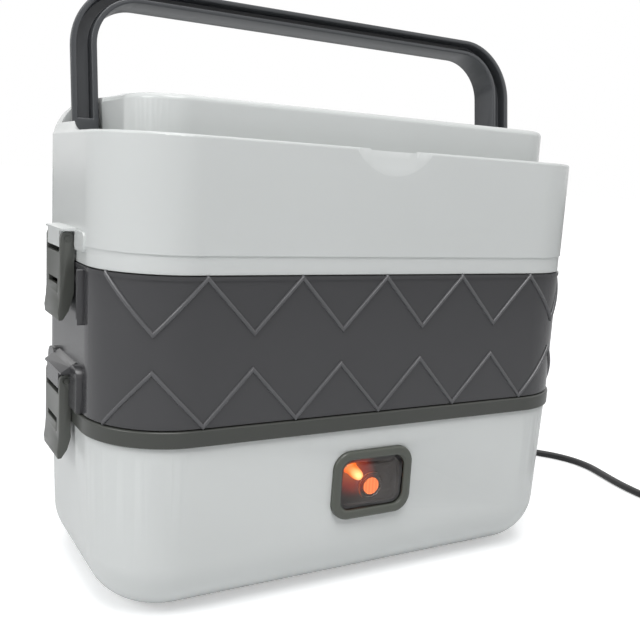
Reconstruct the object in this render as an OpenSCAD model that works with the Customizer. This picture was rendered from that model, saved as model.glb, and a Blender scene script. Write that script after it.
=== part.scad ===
// Electric lunch box: heated base, middle tier, lift-off lid, side latches, folding handle and cord.
// Millimetres, +Z up, front towards -Y. The origin is the middle of the foot print, on the ground.

/* [Body] */
// Width of the body, end wall to end wall
body_w = 235; // [215:1:260]
// Depth of the body, front wall to back wall
body_d = 118; // [112:1:130]
// Plan radius of the body's corners
corner_r = 33.4; // [31:0.2:36]

/* [Heights] */
// Thickness of the rubber feet under the base
foot_h = 1.5; // [1:0.1:3]
// Height of the white base housing
base_h = 73.1; // [70:0.1:80]
// Height of the grey collar on the base
collar_h = 6.6; // [5:0.1:9]
// Gap seen between collar and tier, and between tier and lid
stack_gap = 0.5; // [0.3:0.1:0.8]
// Height of the dark middle tier
tier_h = 58.5; // [56:0.5:66]
// Height of the lid up to its front rim
rim_h = 51; // [48:0.5:58]
// Rise of the lid's raised middle over the front rim
dome_rise = 14.8; // [13:0.1:17]
// Height of the lid's skirt line over its lower edge
skirt_h = 7.3; // [5:0.1:9]

/* [Walls] */
// Wall of the base housing
base_t = 2.5; // [2:0.1:3]
// Floor of the base housing
floor_t = 3.4; // [3:0.1:4]
// Radius of the base's rounded bottom edge
base_round = 24; // [20:0.5:25]
// Lean of the base wall from top to bottom edge
base_lean = 1.4; // [0:0.1:2]
// Wall of the middle tier
tier_t = 2.4; // [2:0.1:2.8]
// Wall of the lid
lid_t = 2.4; // [2:0.1:2.6]
// Radius of the lid's rounded shoulder at the ends and the back
shoulder_r = 19; // [16:0.5:20]
// Sheet thickness of the steel bowls
bowl_t = 0.8; // [0.6:0.1:1]
// Sheet thickness of the heating tray
tray_t = 1; // [0.8:0.1:1.2]

/* [Zigzag ribs] */
// Pitch of the zigzag along the wall
zig_pitch = 40.1; // [36:0.1:42]
// Height of each zigzag row
zig_h = 21.5; // [18:0.5:23]
// Width of a rib
rib_w = 1.5; // [1.2:0.1:2]
// Height of a rib over the wall
rib_h = 0.8; // [0.5:0.1:1.2]

/* [Handle] */
// Distance of the handle's pin behind the body's middle
pin_y = 9.8; // [8:0.2:11]
// Height of the handle's pin below the front rim
pin_drop = 3.4; // [2:0.1:5]
// Depth of the handle strap, front to back
strap_d = 15; // [14:0.5:18]
// Thickness of the handle's legs
leg_t = 10.8; // [9:0.2:11]
// Thickness of the handle's grip bar
bar_t = 7.2; // [6:0.1:7.4]
// Outer corner radius of the handle
handle_r = 28; // [24:1:28]
// Backward lean of the handle at rest
handle_lean = 8; // [0:1:8]
// How much the strap narrows from its front to its back
strap_draft = 3.4; // [1:0.1:3.6]
// Diameter of the handle's pins
handle_pin_d = 4; // [3:0.5:5]

/* [Latches] */
// Width of a latch
latch_w = 25.2; // [20:0.2:28]
// Length of a latch below its pin
latch_l = 32.5; // [30:0.1:34]
// Height of the upper latch pins over the lid's lower edge
upper_pin_h = 8.7; // [7.5:0.1:9.5]
// Height of the lower latch pins over the tier's lower edge
lower_pin_h = 10.2; // [9.5:0.1:11]
// Diameter of the latch pins
latch_pin_d = 2.4; // [2:0.1:3]

/* [Indicator] */
// Width of the indicator bezel
bezel_w = 40; // [38:0.2:46]
// Height of the indicator bezel
bezel_h = 30.4; // [29:0.2:36]
// Height of the indicator's middle over the base housing's underside
bezel_z = 48; // [46:0.5:50]
// Border of the bezel round its window
bezel_border = 3.9; // [3.5:0.1:5.5]

/* [Cord] */
// Diameter of the cord
cord_d = 4.2; // [3.8:0.1:4.4]
// Number of turns in the cord's coil
coil_turns = 4; // [2:2:6]
// Radius of the coil's outer turn, to the cord's middle
coil_r = 27; // [26:0.5:30]

/* [Hidden] */
$fn = 64;

// Colours as the photograph shows them
white = "#e6e8ea";
dark_grey = "#4a4a4c";
olive_grey = "#6f726b";
handle_grey = "#55595b";
steel = "#c3c6c8";
silicone = "#d8d5cc";
black = "#1c1c1e";
brass = "#c9a45a";

// Plan: middle of the corner arcs
corner_x = body_w / 2 - corner_r;
corner_y = body_d / 2 - corner_r;
wall_x = body_w / 2;
wall_y = body_d / 2;

// Levels of the stack
base_z = foot_h;
collar_z = base_z + base_h;
tier_z = collar_z + collar_h + stack_gap;
tier_top = tier_z + tier_h;
lid_z = tier_top + stack_gap;
rim_z = lid_z + rim_h;
lid_top = rim_z + dome_rise;
skirt_z = lid_z + skirt_h;

// Clearances
fit = 0.3;
snug = 0.1;
pin_gap = 0.05;

// Base housing, measured outward from the plan line
base_step = 0.3;
base_top_u = -base_step;
base_low_u = -base_step - base_lean;
base_top_in = base_top_u - base_t;

// Collar
collar_out = 1;
collar_t = 3.6;
collar_edge = 0.8;
collar_in = collar_out - collar_t;
ledge_in = -7;
ledge_t = 2;
spigot_h = 6.6;
spigot_t = 2.4;
spigot_out = base_top_in - base_lean * (spigot_h + base_t) / (base_h - base_round) - snug;

// Heating tray: outer face, floor and bottom radius
tray_u = -11.5;
tray_floor = base_z + 37.5;
tray_r = 9;
tray_flange_z = collar_z + ledge_t;

// Bowls
bowl_gap = 0.5;
bowl_r = 8;
low_bowl_u = tray_u - tray_t - bowl_gap;
low_bowl_floor = tray_floor + tray_t + 0.4;
low_rim_z = tray_flange_z + tray_t + fit;
low_rim_w = 7.8;
shelf_t = 2;
shelf_in = -10.5;
seat_in = -6.4;
seat_z = tier_top - 5.7;
seat_t = 2;
up_bowl_u = seat_in - 0.4;
up_bowl_floor = tier_z + shelf_t + bowl_gap;
up_rim_z = seat_z + fit;
up_rim_w = 4.8;
bead_h = 1.6;
bead_out = 0.4;

// Gaskets and liner
gasket_out = collar_in - 0.6;
gasket_w = 7.2;
tier_gasket_low = low_rim_z + bowl_t + fit;

// Lid
lid_out = 0.2;
skirt_out = -0.3;
lid_in = lid_out - lid_t;
skirt_in = skirt_out - lid_t;
channel_w = 12.7;
side_gap = 1.4;
channel_wall = 1.7;
channel_in = lid_out - channel_wall;
pin_z = rim_z - pin_drop;
channel_floor = pin_z - strap_d / 2 - 0.6;
leg_out = wall_x + channel_in - 0.4;
leg_in = leg_out - leg_t;
dome_x = leg_in - side_gap;
dome_front = -(wall_y + channel_in - channel_w);
dome_r = 20;
dome_edge = 2.5;
blend_r = 16;
blend_y = -12;
rim_edge = 1.2;
stop_y = pin_y + strap_d / 2 / cos(handle_lean) + (lid_top - pin_z) * tan(handle_lean) + 0.5;
dome_back = wall_y - shoulder_r;
pin_boss_r = handle_pin_d / 2 + 3;

// Liner under the lid and its gasket
liner_u = skirt_in - 0.5;
liner_z = lid_z + 1.3;
liner_t = 2;
liner_lip = 6;
liner_lip_t = 1.4;
lid_gasket_out = liner_u - 0.4;
lid_gasket_w = 5.2;
lid_gasket_low = up_rim_z + bowl_t + 0.4;

// Thumb dish in the front rim: chord and depth seen from the front, then the ball that cuts it
dish_w = 39;
dish_h = 10.6;
dish_ring = (dish_w * dish_w / 4 + dish_h * dish_h) / (2 * dish_h);
dish_ball = 75;
dish_z = rim_z - dish_h + dish_ring;
dish_y = -(wall_y + lid_out) - sqrt(dish_ball * dish_ball - dish_ring * dish_ring);
dish_back = 1.2;

// Handle
fold_reach = norm([pin_y - dome_front - dome_edge, lid_top - dome_edge - pin_z]) + dome_edge;
bar_r = fold_reach + fit + bar_t / 2;
handle_in_r = handle_r - (leg_t + bar_t) / 2;
leg_rib = 2.45;
bar_rib = 1.9;
groove_d = 5.5;
draft_start = 1.5;
groove_start = 8;
leg_end_r = strap_d / 2;
handle_pin_in = dome_x - lid_t - 1.5;
handle_pin_out = leg_in + 5.5;

// Latches: a is measured outward from the pin, b upward from the pin
latch_pin_x = wall_x + 3.2;
upper_pin_z = lid_z + upper_pin_h;
lower_pin_z = tier_z + lower_pin_h;
latch_out = 2.9;
latch_panel = 1.8;
latch_flare = 0.8;
cheek_t = 2;
cheek_in = -2.6;
cheek_relief = 8;
collar_relief_in = wall_x + collar_out + fit - latch_pin_x;
panel_top = -5.7;
window_w = 16;
window_top = -16.3;
window_low = -18.6;
slit_w = 0.8;
slit_low = -22;
hook_in = -1.9;
hook_top = -21.5;
hook_t = 2;
hook_w = 12;
boss_w = latch_w - 2 * cheek_t - 0.8;
boss_low = -3.4;
roof_low = latch_out + 0.3;
roof_top = 4;
roof_over = 1.8;
upper_roof_rise = 0.4;
lower_roof_rise = 4;
catch_gap = 0.3;
catch_rise = 3;
catch_out = latch_pin_x + hook_in - catch_gap;
flank_y = 25.2;
flank_out = 2.5;
flank_r = 5;
rail_w = 2;
rail_l = 22;
lid_flank_y = 27;
lid_flank_out = 1;

// Indicator, in the front wall
bezel_r = 8;
bezel_front = -(wall_y + 0.6);
bezel_back = -(wall_y - 1.6);
bezel_mid = base_z + bezel_z;
sleeve_back = bezel_back + 5.5;
sleeve_step = 2;
sleeve_w = bezel_w - 2 * sleeve_step;
sleeve_h = bezel_h - 2 * sleeve_step;
lens_gap = 0.1;
lens_front = bezel_front + 0.6;
lens_t = 2;
lamp_ring_d = 12.4;
lamp_d = 4.6;
lamp_x = -5;
lamp_up = 2.4;
ring_x = -0.8;
ring_up = -1.5;

// Power inlet, in the back wall
inlet_x = 50;
inlet_z = base_z + 32;
inlet_w = 27;
inlet_h = 18;
inlet_r = 3;
inlet_body_w = inlet_w - 4;
inlet_body_h = inlet_h - 4;
inlet_front = wall_y - 0.2;
inlet_seat = wall_y - 2;
inlet_depth = 13.6;
socket_w = 16.4;
socket_h = 9.2;
socket_depth = 11.2;
pin_pitch = 8.6;
inlet_pin_d = 2.4;

// Bottom cover
cover_w = 136;
cover_d = 50;
cover_r = 4;
cover_t = 2;
cover_lap = 7;
screw_d = 2.3;
screw_head_d = 5.4;
screw_boss_d = 7;
screw_head_h = 1;
screw_l = 9;
screw_x = (cover_w - cover_lap) / 2;
screw_y = (cover_d - cover_lap) / 2;
foot_d = 11;
foot_x = 82;
foot_y = 26;

// Heater group under the tray
block_l = 80;
block_w = 28;
block_h = 7;
stud_x = 46;
stud_r = 3.5;
bracket_t = 1.5;
bracket_w = 16;
thermostat_x = -66;
thermostat_d = 16;
thermostat_h = 9;
fuse_x = 66;
fuse_d = 4;
fuse_l = 14;
lead_r = 1;

// Cord: the lead's route, chosen by hand
connector_w = 20;
connector_h = 12;
connector_l = 18;
connector_y = inlet_front + 0.3;
relief_l = 24;
exit_y = connector_y + connector_l + relief_l;
tie_t = 0.8;
coil_lift = tie_t + 0.3;
coil_low = coil_lift + cord_d / 2;
coil_x = 268;
coil_y = -52;
lead_route = [
    [inlet_x, exit_y, inlet_z], [50, 106, 33.2], [51, 115, 32], [54, 124, 29.5], [60, 133, 26],
    [68, 140, 22], [78, 145, 17.5], [89, 147, 13.5], [100, 147, 10], [111, 145, 7],
    [122, 141, 4.6], [132, 136, 3], [142, 129, 2.2], [152, 121, 2.1], [162, 112, 2.1],
    [172, 102, 2.1], [182, 91, 2.1], [192, 79, 2.1], [202, 67, 2.1], [211, 56, 2.1],
    [219, 45, 2.1], [224, 33, 2.1], [225, 20, 2.1], [222.5, 7, 2.1], [219.5, -6, 2.1],
    [217.5, -19, 2.1], [217, -32, 2.1], [219.5, -45, 2.2], [225, -56, 2.4], [233, -65, 2.7],
    [243, -72, 3], [255, -76.5, coil_low], [coil_x - cord_d, coil_y - coil_r, coil_low],
    [coil_x, coil_y - coil_r, coil_low]];
coil_pitch = cord_d + 0.6;
coil_rings = 24;
coil_sides = 6;
tail_l = 22;
tail_z = coil_low + coil_pitch;
plug_relief_l = 22;
plug_l = 34;
plug_w = 35;
plug_h = 2 * tail_z - 0.2;
plug_pin_l = 19;
plug_pin_d = 4;
plug_pin_pitch = 19;

// Plan outline drawn in by an inset
module plan2d(inset) {
    r = corner_r - inset;
    square([2 * corner_x, body_d - 2 * inset], center = true);
    square([body_w - 2 * inset, 2 * corner_y], center = true);
    for (x = [-corner_x, corner_x], y = [-corner_y, corner_y])
        translate([x, y]) circle(r);
}

// Upright slab with the body's plan, from one level to another
module slab(inset, low, high) {
    translate([0, 0, low]) linear_extrude(high - low) plan2d(inset);
}

// Carries a wall profile round the plan. The profile's x runs outward from the plan line, its y is height.
module round_plan() {
    for (k = [0, 1]) {
        rotate([0, 0, 180 * k]) {
            translate([corner_x, corner_y, 0]) rotate_extrude(angle = 90) translate([corner_r, 0]) children();
            translate([-corner_x, corner_y, 0]) rotate([0, 0, 90])
                rotate_extrude(angle = 90) translate([corner_r, 0]) children();
            translate([-corner_x, corner_y, 0]) rotate([90, 0, 90])
                linear_extrude(2 * corner_x) translate([corner_r, 0]) children();
            translate([corner_x, corner_y, 0]) rotate([90, 0, 0])
                linear_extrude(2 * corner_y) translate([corner_r, 0]) children();
        }
    }
}

// Solid with a swept edge profile and a filled middle
module filled_plan(low, high) {
    round_plan() children();
    translate([-corner_x, -corner_y, low]) cube([2 * corner_x, 2 * corner_y, high - low]);
}

// Rounded rectangle, centred
module round_rect(w, d, r) {
    square([w - 2 * r, d], center = true);
    square([w, d - 2 * r], center = true);
    for (x = [-1, 1], y = [-1, 1])
        translate([x * (w / 2 - r), y * (d / 2 - r)]) circle(r);
}

// Rounded rectangle plate standing in the X and Z directions, from one Y to another
module upright_plate(w, h, r, y0, y1) {
    translate([0, y1, 0]) rotate([90, 0, 0]) linear_extrude(y1 - y0) round_rect(w, h, r);
}

// Edge profile of a basin's outside: u of the wall, floor, top and bottom radius
module basin_edge(u, low, high, r) {
    polygon([[-corner_r, low], [u - r, low], [u, low + r], [u, high], [-corner_r, high]]);
    intersection() {
        translate([u - r, low + r]) circle(r);
        translate([-corner_r, low]) square([corner_r + u, r]);
    }
}

// Thin basin with a flange at its top: outer wall u, floor, top, bottom radius, sheet and flange width
module basin(u, low, high, r, sheet, flange) {
    difference() {
        union() {
            filled_plan(low, high) basin_edge(u, low, high, r);
            difference() {
                slab(-u - flange + sheet, high - sheet, high);
                slab(-u + sheet / 2, high - 2 * sheet, high + 1);
            }
        }
        filled_plan(low + sheet, high + 1) basin_edge(u - sheet, low + sheet, high + 1, r - sheet);
    }
}

// Bent lead through a few points, leaving in a given direction
module wire(points, r, first) {
    path = spline(points, 4);
    last = len(path) - 1;
    tube(path, r, 6, first, unit(path[last] - path[last - 1]));
}

// Both ends of the body: children are drawn at the right end and mirrored to the left
module both_ends() {
    children();
    mirror([1, 0, 0]) children();
}

// Outline point at a distance along the front wall, standing off the wall by h
function on_wall(s, h) =
    let (a = (abs(s) - corner_x) / corner_r * 180 / PI)
    abs(s) <= corner_x
        ? [s, -wall_y - h]
        : [sign(s) * (corner_x + (corner_r + h) * sin(a)), -corner_y - (corner_r + h) * cos(a)];

// Zigzag path along the wall as [distance, height], with steps in the corners
zig_periods = 3;
zig_fine = 5;
function zig_level(s, low, up) =
    let (f = abs(s / zig_pitch - floor(s / zig_pitch) - 0.5) * 2)
    up ? low + zig_h * f : low + zig_h * (1 - f);
zig_stops = [for (k = [-2 * zig_periods : 2 * zig_periods - 1])
    let (s0 = k * zig_pitch / 2, s1 = s0 + zig_pitch / 2, n = max(abs(s0), abs(s1)) > corner_x ? zig_fine : 1)
    for (j = [0 : n - 1]) s0 + (s1 - s0) * j / n, zig_periods * zig_pitch];

// Rib along the zigzag: four points round the rib at each stop, on both sides of the mitre
module zig_rib(low, up) {
    n = len(zig_stops);
    slope = zig_h / (zig_pitch / 2);
    half = rib_w / 2 * sqrt(1 + slope * slope);
    sunk = 0.5;
    points = [for (k = [0 : n - 1])
        let (s = zig_stops[k], z = zig_level(s, low, up))
        for (c = [[-half, -sunk], [-half * 0.55, rib_h], [half * 0.55, rib_h], [half, -sunk]])
            let (p = on_wall(s, c[1])) [p[0], p[1], z + c[0]]];
    sides = [for (k = [0 : n - 2], j = [0 : 3])
        let (a = 4 * k + j, b = 4 * k + (j + 1) % 4)
        each [[a, b, b + 4], [a, b + 4, a + 4]]];
    last = 4 * (n - 1);
    ends = [[0, 3, 2], [0, 2, 1], [last, last + 1, last + 2], [last, last + 2, last + 3]];
    polyhedron(points, concat(sides, ends));
}

// Base housing with its rounded bottom, windows and screw bosses
module base_edge(t) {
    low = base_z + t;
    polygon([[-corner_r, low], [base_low_u - base_round, low], [base_low_u - t, base_z + base_round],
        [base_top_u - t, collar_z + t], [-corner_r, collar_z + t]]);
    intersection() {
        translate([base_low_u - base_round, base_z + base_round]) circle(base_round - t);
        translate([-corner_r, base_z]) square([corner_r + base_low_u, base_round]);
    }
}

module base_shell() {
    color(white) difference() {
        union() {
            difference() {
                filled_plan(base_z, collar_z) intersection() {
                    base_edge(0);
                    translate([-corner_r, base_z]) square([corner_r, base_h]);
                }
                filled_plan(base_z + floor_t, collar_z + base_t) base_edge(base_t);
            }
            for (x = [-1, 1], y = [-1, 1])
                translate([x * screw_x, y * screw_y, base_z + cover_t])
                    cylinder(d = screw_boss_d, h = screw_l + 2);
            both_ends() base_catch();
        }
        translate([0, 0, base_z - 1]) linear_extrude(cover_t + 1)
            round_rect(cover_w + 2 * snug, cover_d + 2 * snug, cover_r);
        translate([0, 0, base_z]) linear_extrude(floor_t + 1)
            round_rect(cover_w - 2 * cover_lap, cover_d - 2 * cover_lap, cover_r / 2);
        for (x = [-1, 1], y = [-1, 1])
            translate([x * screw_x, y * screw_y, base_z])
                cylinder(d = screw_d + 2 * pin_gap, h = screw_l + 2);
        translate([0, 0, bezel_mid]) {
            upright_plate(bezel_w + 2 * snug, bezel_h + 2 * snug, bezel_r, -wall_y - 5, bezel_back);
            upright_plate(sleeve_w + 2 * snug, sleeve_h + 2 * snug, bezel_r - sleeve_step, -wall_y - 5,
                -wall_y + 8);
        }
        translate([inlet_x, 0, inlet_z]) {
            upright_plate(inlet_w + 2 * snug, inlet_h + 2 * snug, inlet_r, inlet_seat, wall_y + 5);
            upright_plate(inlet_body_w + 2 * snug, inlet_body_h + 2 * snug, inlet_r - 1, wall_y - 9,
                wall_y + 5);
        }
    }
}

// Catch for a lower latch on the base's end wall
module base_catch() {
    top = lower_pin_z + hook_top + catch_gap + catch_rise;
    translate([wall_x - base_t, -hook_w / 2, top - catch_rise])
        cube([catch_out - wall_x + base_t, hook_w, catch_rise]);
}

module bottom_cover() {
    color(white) difference() {
        translate([0, 0, base_z]) linear_extrude(cover_t) round_rect(cover_w, cover_d, cover_r);
        for (x = [-1, 1], y = [-1, 1])
            translate([x * screw_x, y * screw_y, base_z - 1]) {
                cylinder(d = screw_head_d + 2 * fit, h = 2.1);
                cylinder(d = screw_d + 1, h = cover_t + 2);
            }
        for (k = [-6 : 6])
            translate([k * 7 - 1, -9, base_z - 1]) cube([2, 18, cover_t + 2]);
    }
}

module cover_screws() {
    color(steel) for (x = [-1, 1], y = [-1, 1])
        translate([x * screw_x, y * screw_y, base_z + 1.1]) {
            cylinder(d = screw_d, h = screw_l);
            translate([0, 0, -screw_head_h]) cylinder(d = screw_head_d, h = screw_head_h);
        }
}

module feet() {
    color(black) for (x = [-foot_x, foot_x], y = [-foot_y, foot_y])
        translate([x, y, 0]) cylinder(d = foot_d, h = foot_h);
}

module base_collar() {
    color(olive_grey) {
        difference() {
            union() {
                slab(-collar_out, collar_z, collar_z + collar_h - collar_edge);
                slab(-collar_out + collar_edge, collar_z + 1, collar_z + collar_h);
                round_plan() intersection() {
                    translate([collar_out - collar_edge, collar_z + collar_h - collar_edge])
                        circle(collar_edge);
                    translate([collar_in, collar_z]) square([collar_t, collar_h]);
                }
                slab(-spigot_out, collar_z - spigot_h, collar_z + 1);
            }
            slab(-collar_in, collar_z + ledge_t, collar_z + collar_h + 1);
            slab(-ledge_in, collar_z - 1, collar_z + collar_h);
            slab(-spigot_out + spigot_t, collar_z - spigot_h - 1, collar_z);
        }
    }
}

module heating_tray() {
    color(steel) {
        basin(tray_u, tray_floor, tray_flange_z + tray_t, tray_r, tray_t, collar_in - fit - tray_u + tray_t);
        for (x = [-stud_x, stud_x])
            translate([x, 0, tray_floor - block_h]) difference() {
                cylinder(r = stud_r, h = block_h);
                translate([0, 0, -1]) cylinder(d = screw_d + 2 * pin_gap, h = block_h);
            }
    }
}

module heater_block() {
    color("#8d9092") translate([-block_l / 2, -block_w / 2, tray_floor - block_h])
        cube([block_l, block_w, block_h]);
}

module heater_bracket() {
    color(steel) difference() {
        translate([-stud_x - 6, -bracket_w / 2, tray_floor - block_h - bracket_t])
            cube([2 * stud_x + 12, bracket_w, bracket_t]);
        for (x = [-stud_x, stud_x])
            translate([x, 0, tray_floor - block_h - bracket_t - 1])
                cylinder(d = screw_d + 1, h = bracket_t + 2);
    }
}

module bracket_screws() {
    color(steel) for (x = [-stud_x, stud_x])
        translate([x, 0, tray_floor - block_h - bracket_t]) {
            cylinder(d = screw_d, h = bracket_t + block_h - 2);
            translate([0, 0, -screw_head_h - 0.4]) cylinder(d = screw_head_d, h = screw_head_h + 0.4);
        }
}

module thermostat() {
    color(black) translate([thermostat_x, 0, tray_floor - thermostat_h]) {
        cylinder(d = thermostat_d, h = thermostat_h);
        translate([-1, -thermostat_d / 2 - 6, 2]) cube([2, thermostat_d + 12, 0.8]);
    }
}

module thermal_fuse() {
    color(steel) translate([fuse_x, -fuse_l / 2, tray_floor - fuse_d / 2]) rotate([-90, 0, 0]) {
        cylinder(d = fuse_d, h = fuse_l);
        translate([0, 0, -5]) cylinder(d = 1, h = fuse_l + 10);
    }
}

// Insulated leads from the inlet to the heater, the fuse, the thermostat and the lamp
module wiring() {
    pin_back = inlet_front - inlet_depth - 2;
    low = tray_floor - block_h - 6;
    back = [0, -1, 0];
    color("#b5532f") {
        wire([[inlet_x + pin_pitch / 2, pin_back, inlet_z], [inlet_x + 6, pin_back - 4, inlet_z - 1],
            [inlet_x + 9, pin_back - 9, inlet_z - 8], [fuse_x, 22, low],
            [fuse_x, fuse_l / 2 + 6, tray_floor - fuse_d / 2]], lead_r, back);
        wire([[inlet_x - pin_pitch / 2, pin_back, inlet_z], [inlet_x - 6, pin_back - 4, inlet_z - 1],
            [inlet_x - 10, pin_back - 9, inlet_z - 8], [0, 24, low], [thermostat_x, 24, low],
            [thermostat_x, thermostat_d / 2 + 7, tray_floor - thermostat_h + 2.4]], lead_r, back);
        wire([[fuse_x, -fuse_l / 2 - 6, tray_floor - fuse_d / 2], [fuse_x - 4, -22, low],
            [block_l / 2 + 1.1, -11, tray_floor - 3.5]], lead_r, back);
        wire([[thermostat_x, -thermostat_d / 2 - 7, tray_floor - thermostat_h + 2.4],
            [thermostat_x + 8, -22, low], [-block_l / 2 - 1.1, -11, tray_floor - 3.5]], lead_r, back);
    }
}

module indicator_bezel() {
    inner_w = bezel_w - 2 * bezel_border;
    inner_h = bezel_h - 2 * bezel_border;
    color(olive_grey) translate([0, 0, bezel_mid]) difference() {
        union() {
            upright_plate(bezel_w, bezel_h, bezel_r, bezel_front, bezel_back);
            upright_plate(sleeve_w, sleeve_h, bezel_r - sleeve_step, bezel_back, sleeve_back);
        }
        upright_plate(inner_w, inner_h, bezel_r - bezel_border + 1.4, bezel_front - 1, sleeve_back + 1);
        translate([0, bezel_front, bezel_h / 2]) rotate([-90, 0, 0]) cylinder(r = 1.6, h = 0.5);
    }
}

module indicator_lens() {
    w = bezel_w - 2 * bezel_border - 2 * lens_gap;
    h = bezel_h - 2 * bezel_border - 2 * lens_gap;
    color("#6b6f70") translate([0, 0, bezel_mid]) {
        upright_plate(w, h, bezel_r - bezel_border + 1.3, lens_front, lens_front + lens_t);
        translate([ring_x, lens_front + 0.5, ring_up]) rotate([90, 0, 0]) {
            difference() {
                cylinder(d = lamp_ring_d, h = 1);
                translate([0, 0, -0.5]) cylinder(d = lamp_ring_d - 2.4, h = 3);
            }
            cylinder(d = lamp_ring_d - 4.6, h = 0.8);
        }
    }
}

module lamp_holder() {
    w = bezel_w - 2 * bezel_border - 2 * lens_gap;
    h = bezel_h - 2 * bezel_border - 2 * lens_gap;
    back = sleeve_back;
    front = lens_front + lens_t;
    color("#cfcac0") translate([0, 0, bezel_mid]) difference() {
        upright_plate(w, h, bezel_r - bezel_border + 1.3, front, back);
        upright_plate(w - 3, h - 3, bezel_r - bezel_border, front - 1, back - 1.6);
        translate([lamp_x, back + 1, lamp_up]) rotate([90, 0, 0]) cylinder(d = lamp_d + 2 * pin_gap, h = 4);
    }
}

module indicator_lamp() {
    front = lens_front + lens_t + 0.4;
    color("#ff7a1a") translate([lamp_x, sleeve_back + 1.5, bezel_mid + lamp_up]) rotate([90, 0, 0]) {
        cylinder(d = lamp_d, h = sleeve_back + 1.5 - front - lamp_d / 2);
        translate([0, 0, sleeve_back + 1.5 - front - lamp_d / 2]) sphere(d = lamp_d);
    }
}

module power_inlet() {
    color(black) translate([inlet_x, 0, inlet_z]) difference() {
        union() {
            upright_plate(inlet_w, inlet_h, inlet_r, inlet_seat, inlet_front);
            upright_plate(inlet_body_w, inlet_body_h, inlet_r - 1, inlet_front - inlet_depth, inlet_seat);
        }
        upright_plate(socket_w, socket_h, socket_h / 2 - 0.01, inlet_front - socket_depth, inlet_front + 1);
        for (x = [-pin_pitch / 2, pin_pitch / 2])
            translate([x, inlet_front, 0]) rotate([90, 0, 0])
                cylinder(d = inlet_pin_d + 2 * pin_gap, h = inlet_depth + 1);
    }
}

module inlet_pins() {
    color(brass) for (x = [-pin_pitch / 2, pin_pitch / 2])
        translate([inlet_x + x, inlet_front - 3.5, inlet_z]) rotate([90, 0, 0])
            cylinder(d = inlet_pin_d, h = inlet_depth - 1.5);
}

module lower_bowl() {
    color(steel) basin(low_bowl_u, low_bowl_floor, low_rim_z + bowl_t, bowl_r, bowl_t, low_rim_w);
}

module upper_bowl() {
    color(steel) basin(up_bowl_u, up_bowl_floor, up_rim_z + bowl_t, bowl_r, bowl_t, up_rim_w);
}

// Boss that carries a latch's pin, drawn at the right end: a block between the cheeks and a roof over them
module latch_boss(z, rise) {
    root = wall_x - 2 - latch_pin_x;
    wall = wall_x - latch_pin_x;
    roof_w = latch_w + 2 * roof_over;
    translate([latch_pin_x, 0, z]) rotate([90, 0, 0]) {
        translate([0, 0, -boss_w / 2]) linear_extrude(boss_w)
            translate([root, boss_low]) square([latch_out - root, roof_low - boss_low + 0.5]);
        translate([0, 0, -roof_w / 2]) linear_extrude(roof_w)
            polygon([[root, roof_low], [latch_out, roof_low], [latch_out, roof_top], [wall, roof_top + rise],
                [root, roof_top + rise]]);
    }
}

module latch_bore(z, l) {
    translate([latch_pin_x, l / 2, z]) rotate([90, 0, 0]) cylinder(d = latch_pin_d + 2 * pin_gap, h = l);
}

// Raised field on an end wall beside a latch, on both its sides, rounded at its upper or at all corners
module flanks(y0, y1, z0, z1, out, r) {
    for (s = [-1, 1])
        translate([wall_x - 2, s * (y0 + y1) / 2, (z0 + z1) / 2]) rotate([90, 0, 90])
            linear_extrude(2 + out) round_rect(y1 - y0, z1 - z0, r);
}

// Tier's latch furniture at the right end: catch and rails above, boss and flanks below
module tier_end() {
    catch_z = upper_pin_z + hook_top + catch_gap;
    rail_top = tier_top - 1.2;
    flank_top = lower_pin_z + roof_top + lower_roof_rise;
    flank_in = latch_w / 2 + roof_over;
    translate([wall_x - 2, -hook_w / 2, catch_z]) cube([catch_out - wall_x + 2, hook_w, catch_rise]);
    flanks(flank_y - rail_w, flank_y, rail_top - rail_l, rail_top, flank_out, rail_w / 2 - 0.2);
    intersection() {
        flanks(flank_in - 1.5, flank_y, tier_z - flank_r, flank_top, flank_out, flank_r);
        translate([0, -flank_y, tier_z]) cube([body_w, 2 * flank_y, tier_h]);
    }
    latch_boss(lower_pin_z, lower_roof_rise);
}

module tier_shell() {
    color(dark_grey) difference() {
        union() {
            slab(0, tier_z, tier_top);
            slab(-bead_out, tier_top - bead_h, tier_top);
            both_ends() tier_end();
            for (k = [0, 1]) rotate([0, 0, 180 * k]) {
                zig_rib(tier_top - 0.6 - zig_h, true);
                zig_rib(tier_z + 0.6, false);
            }
        }
        slab(tier_t, tier_z + shelf_t, seat_z - seat_t);
        slab(-seat_in, seat_z - seat_t - 1, seat_z + 1);
        slab(tier_t, seat_z, tier_top + 1);
        slab(-shelf_in, tier_z - 1, tier_z + shelf_t + 1);
        both_ends() latch_bore(lower_pin_z, latch_w + 4);
    }
}

module tier_gasket() {
    color(silicone) difference() {
        slab(-gasket_out, tier_gasket_low, tier_z);
        slab(-gasket_out + gasket_w, tier_gasket_low - 1, tier_z + 1);
    }
}

// Raised middle of the lid in plan, drawn in by an inset
module dome2d(inset) {
    r = dome_r - inset;
    x = dome_x - inset;
    front = dome_front + inset;
    intersection() {
        union() {
            translate([-x, front + r]) square([2 * x, wall_y]);
            translate([-x + r, front]) square([2 * (x - r), wall_y]);
            for (s = [-1, 1]) translate([s * (x - r), front + r]) circle(r);
        }
        translate([-wall_x, -wall_y]) square([body_w, wall_y + dome_back - inset]);
    }
}

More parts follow.
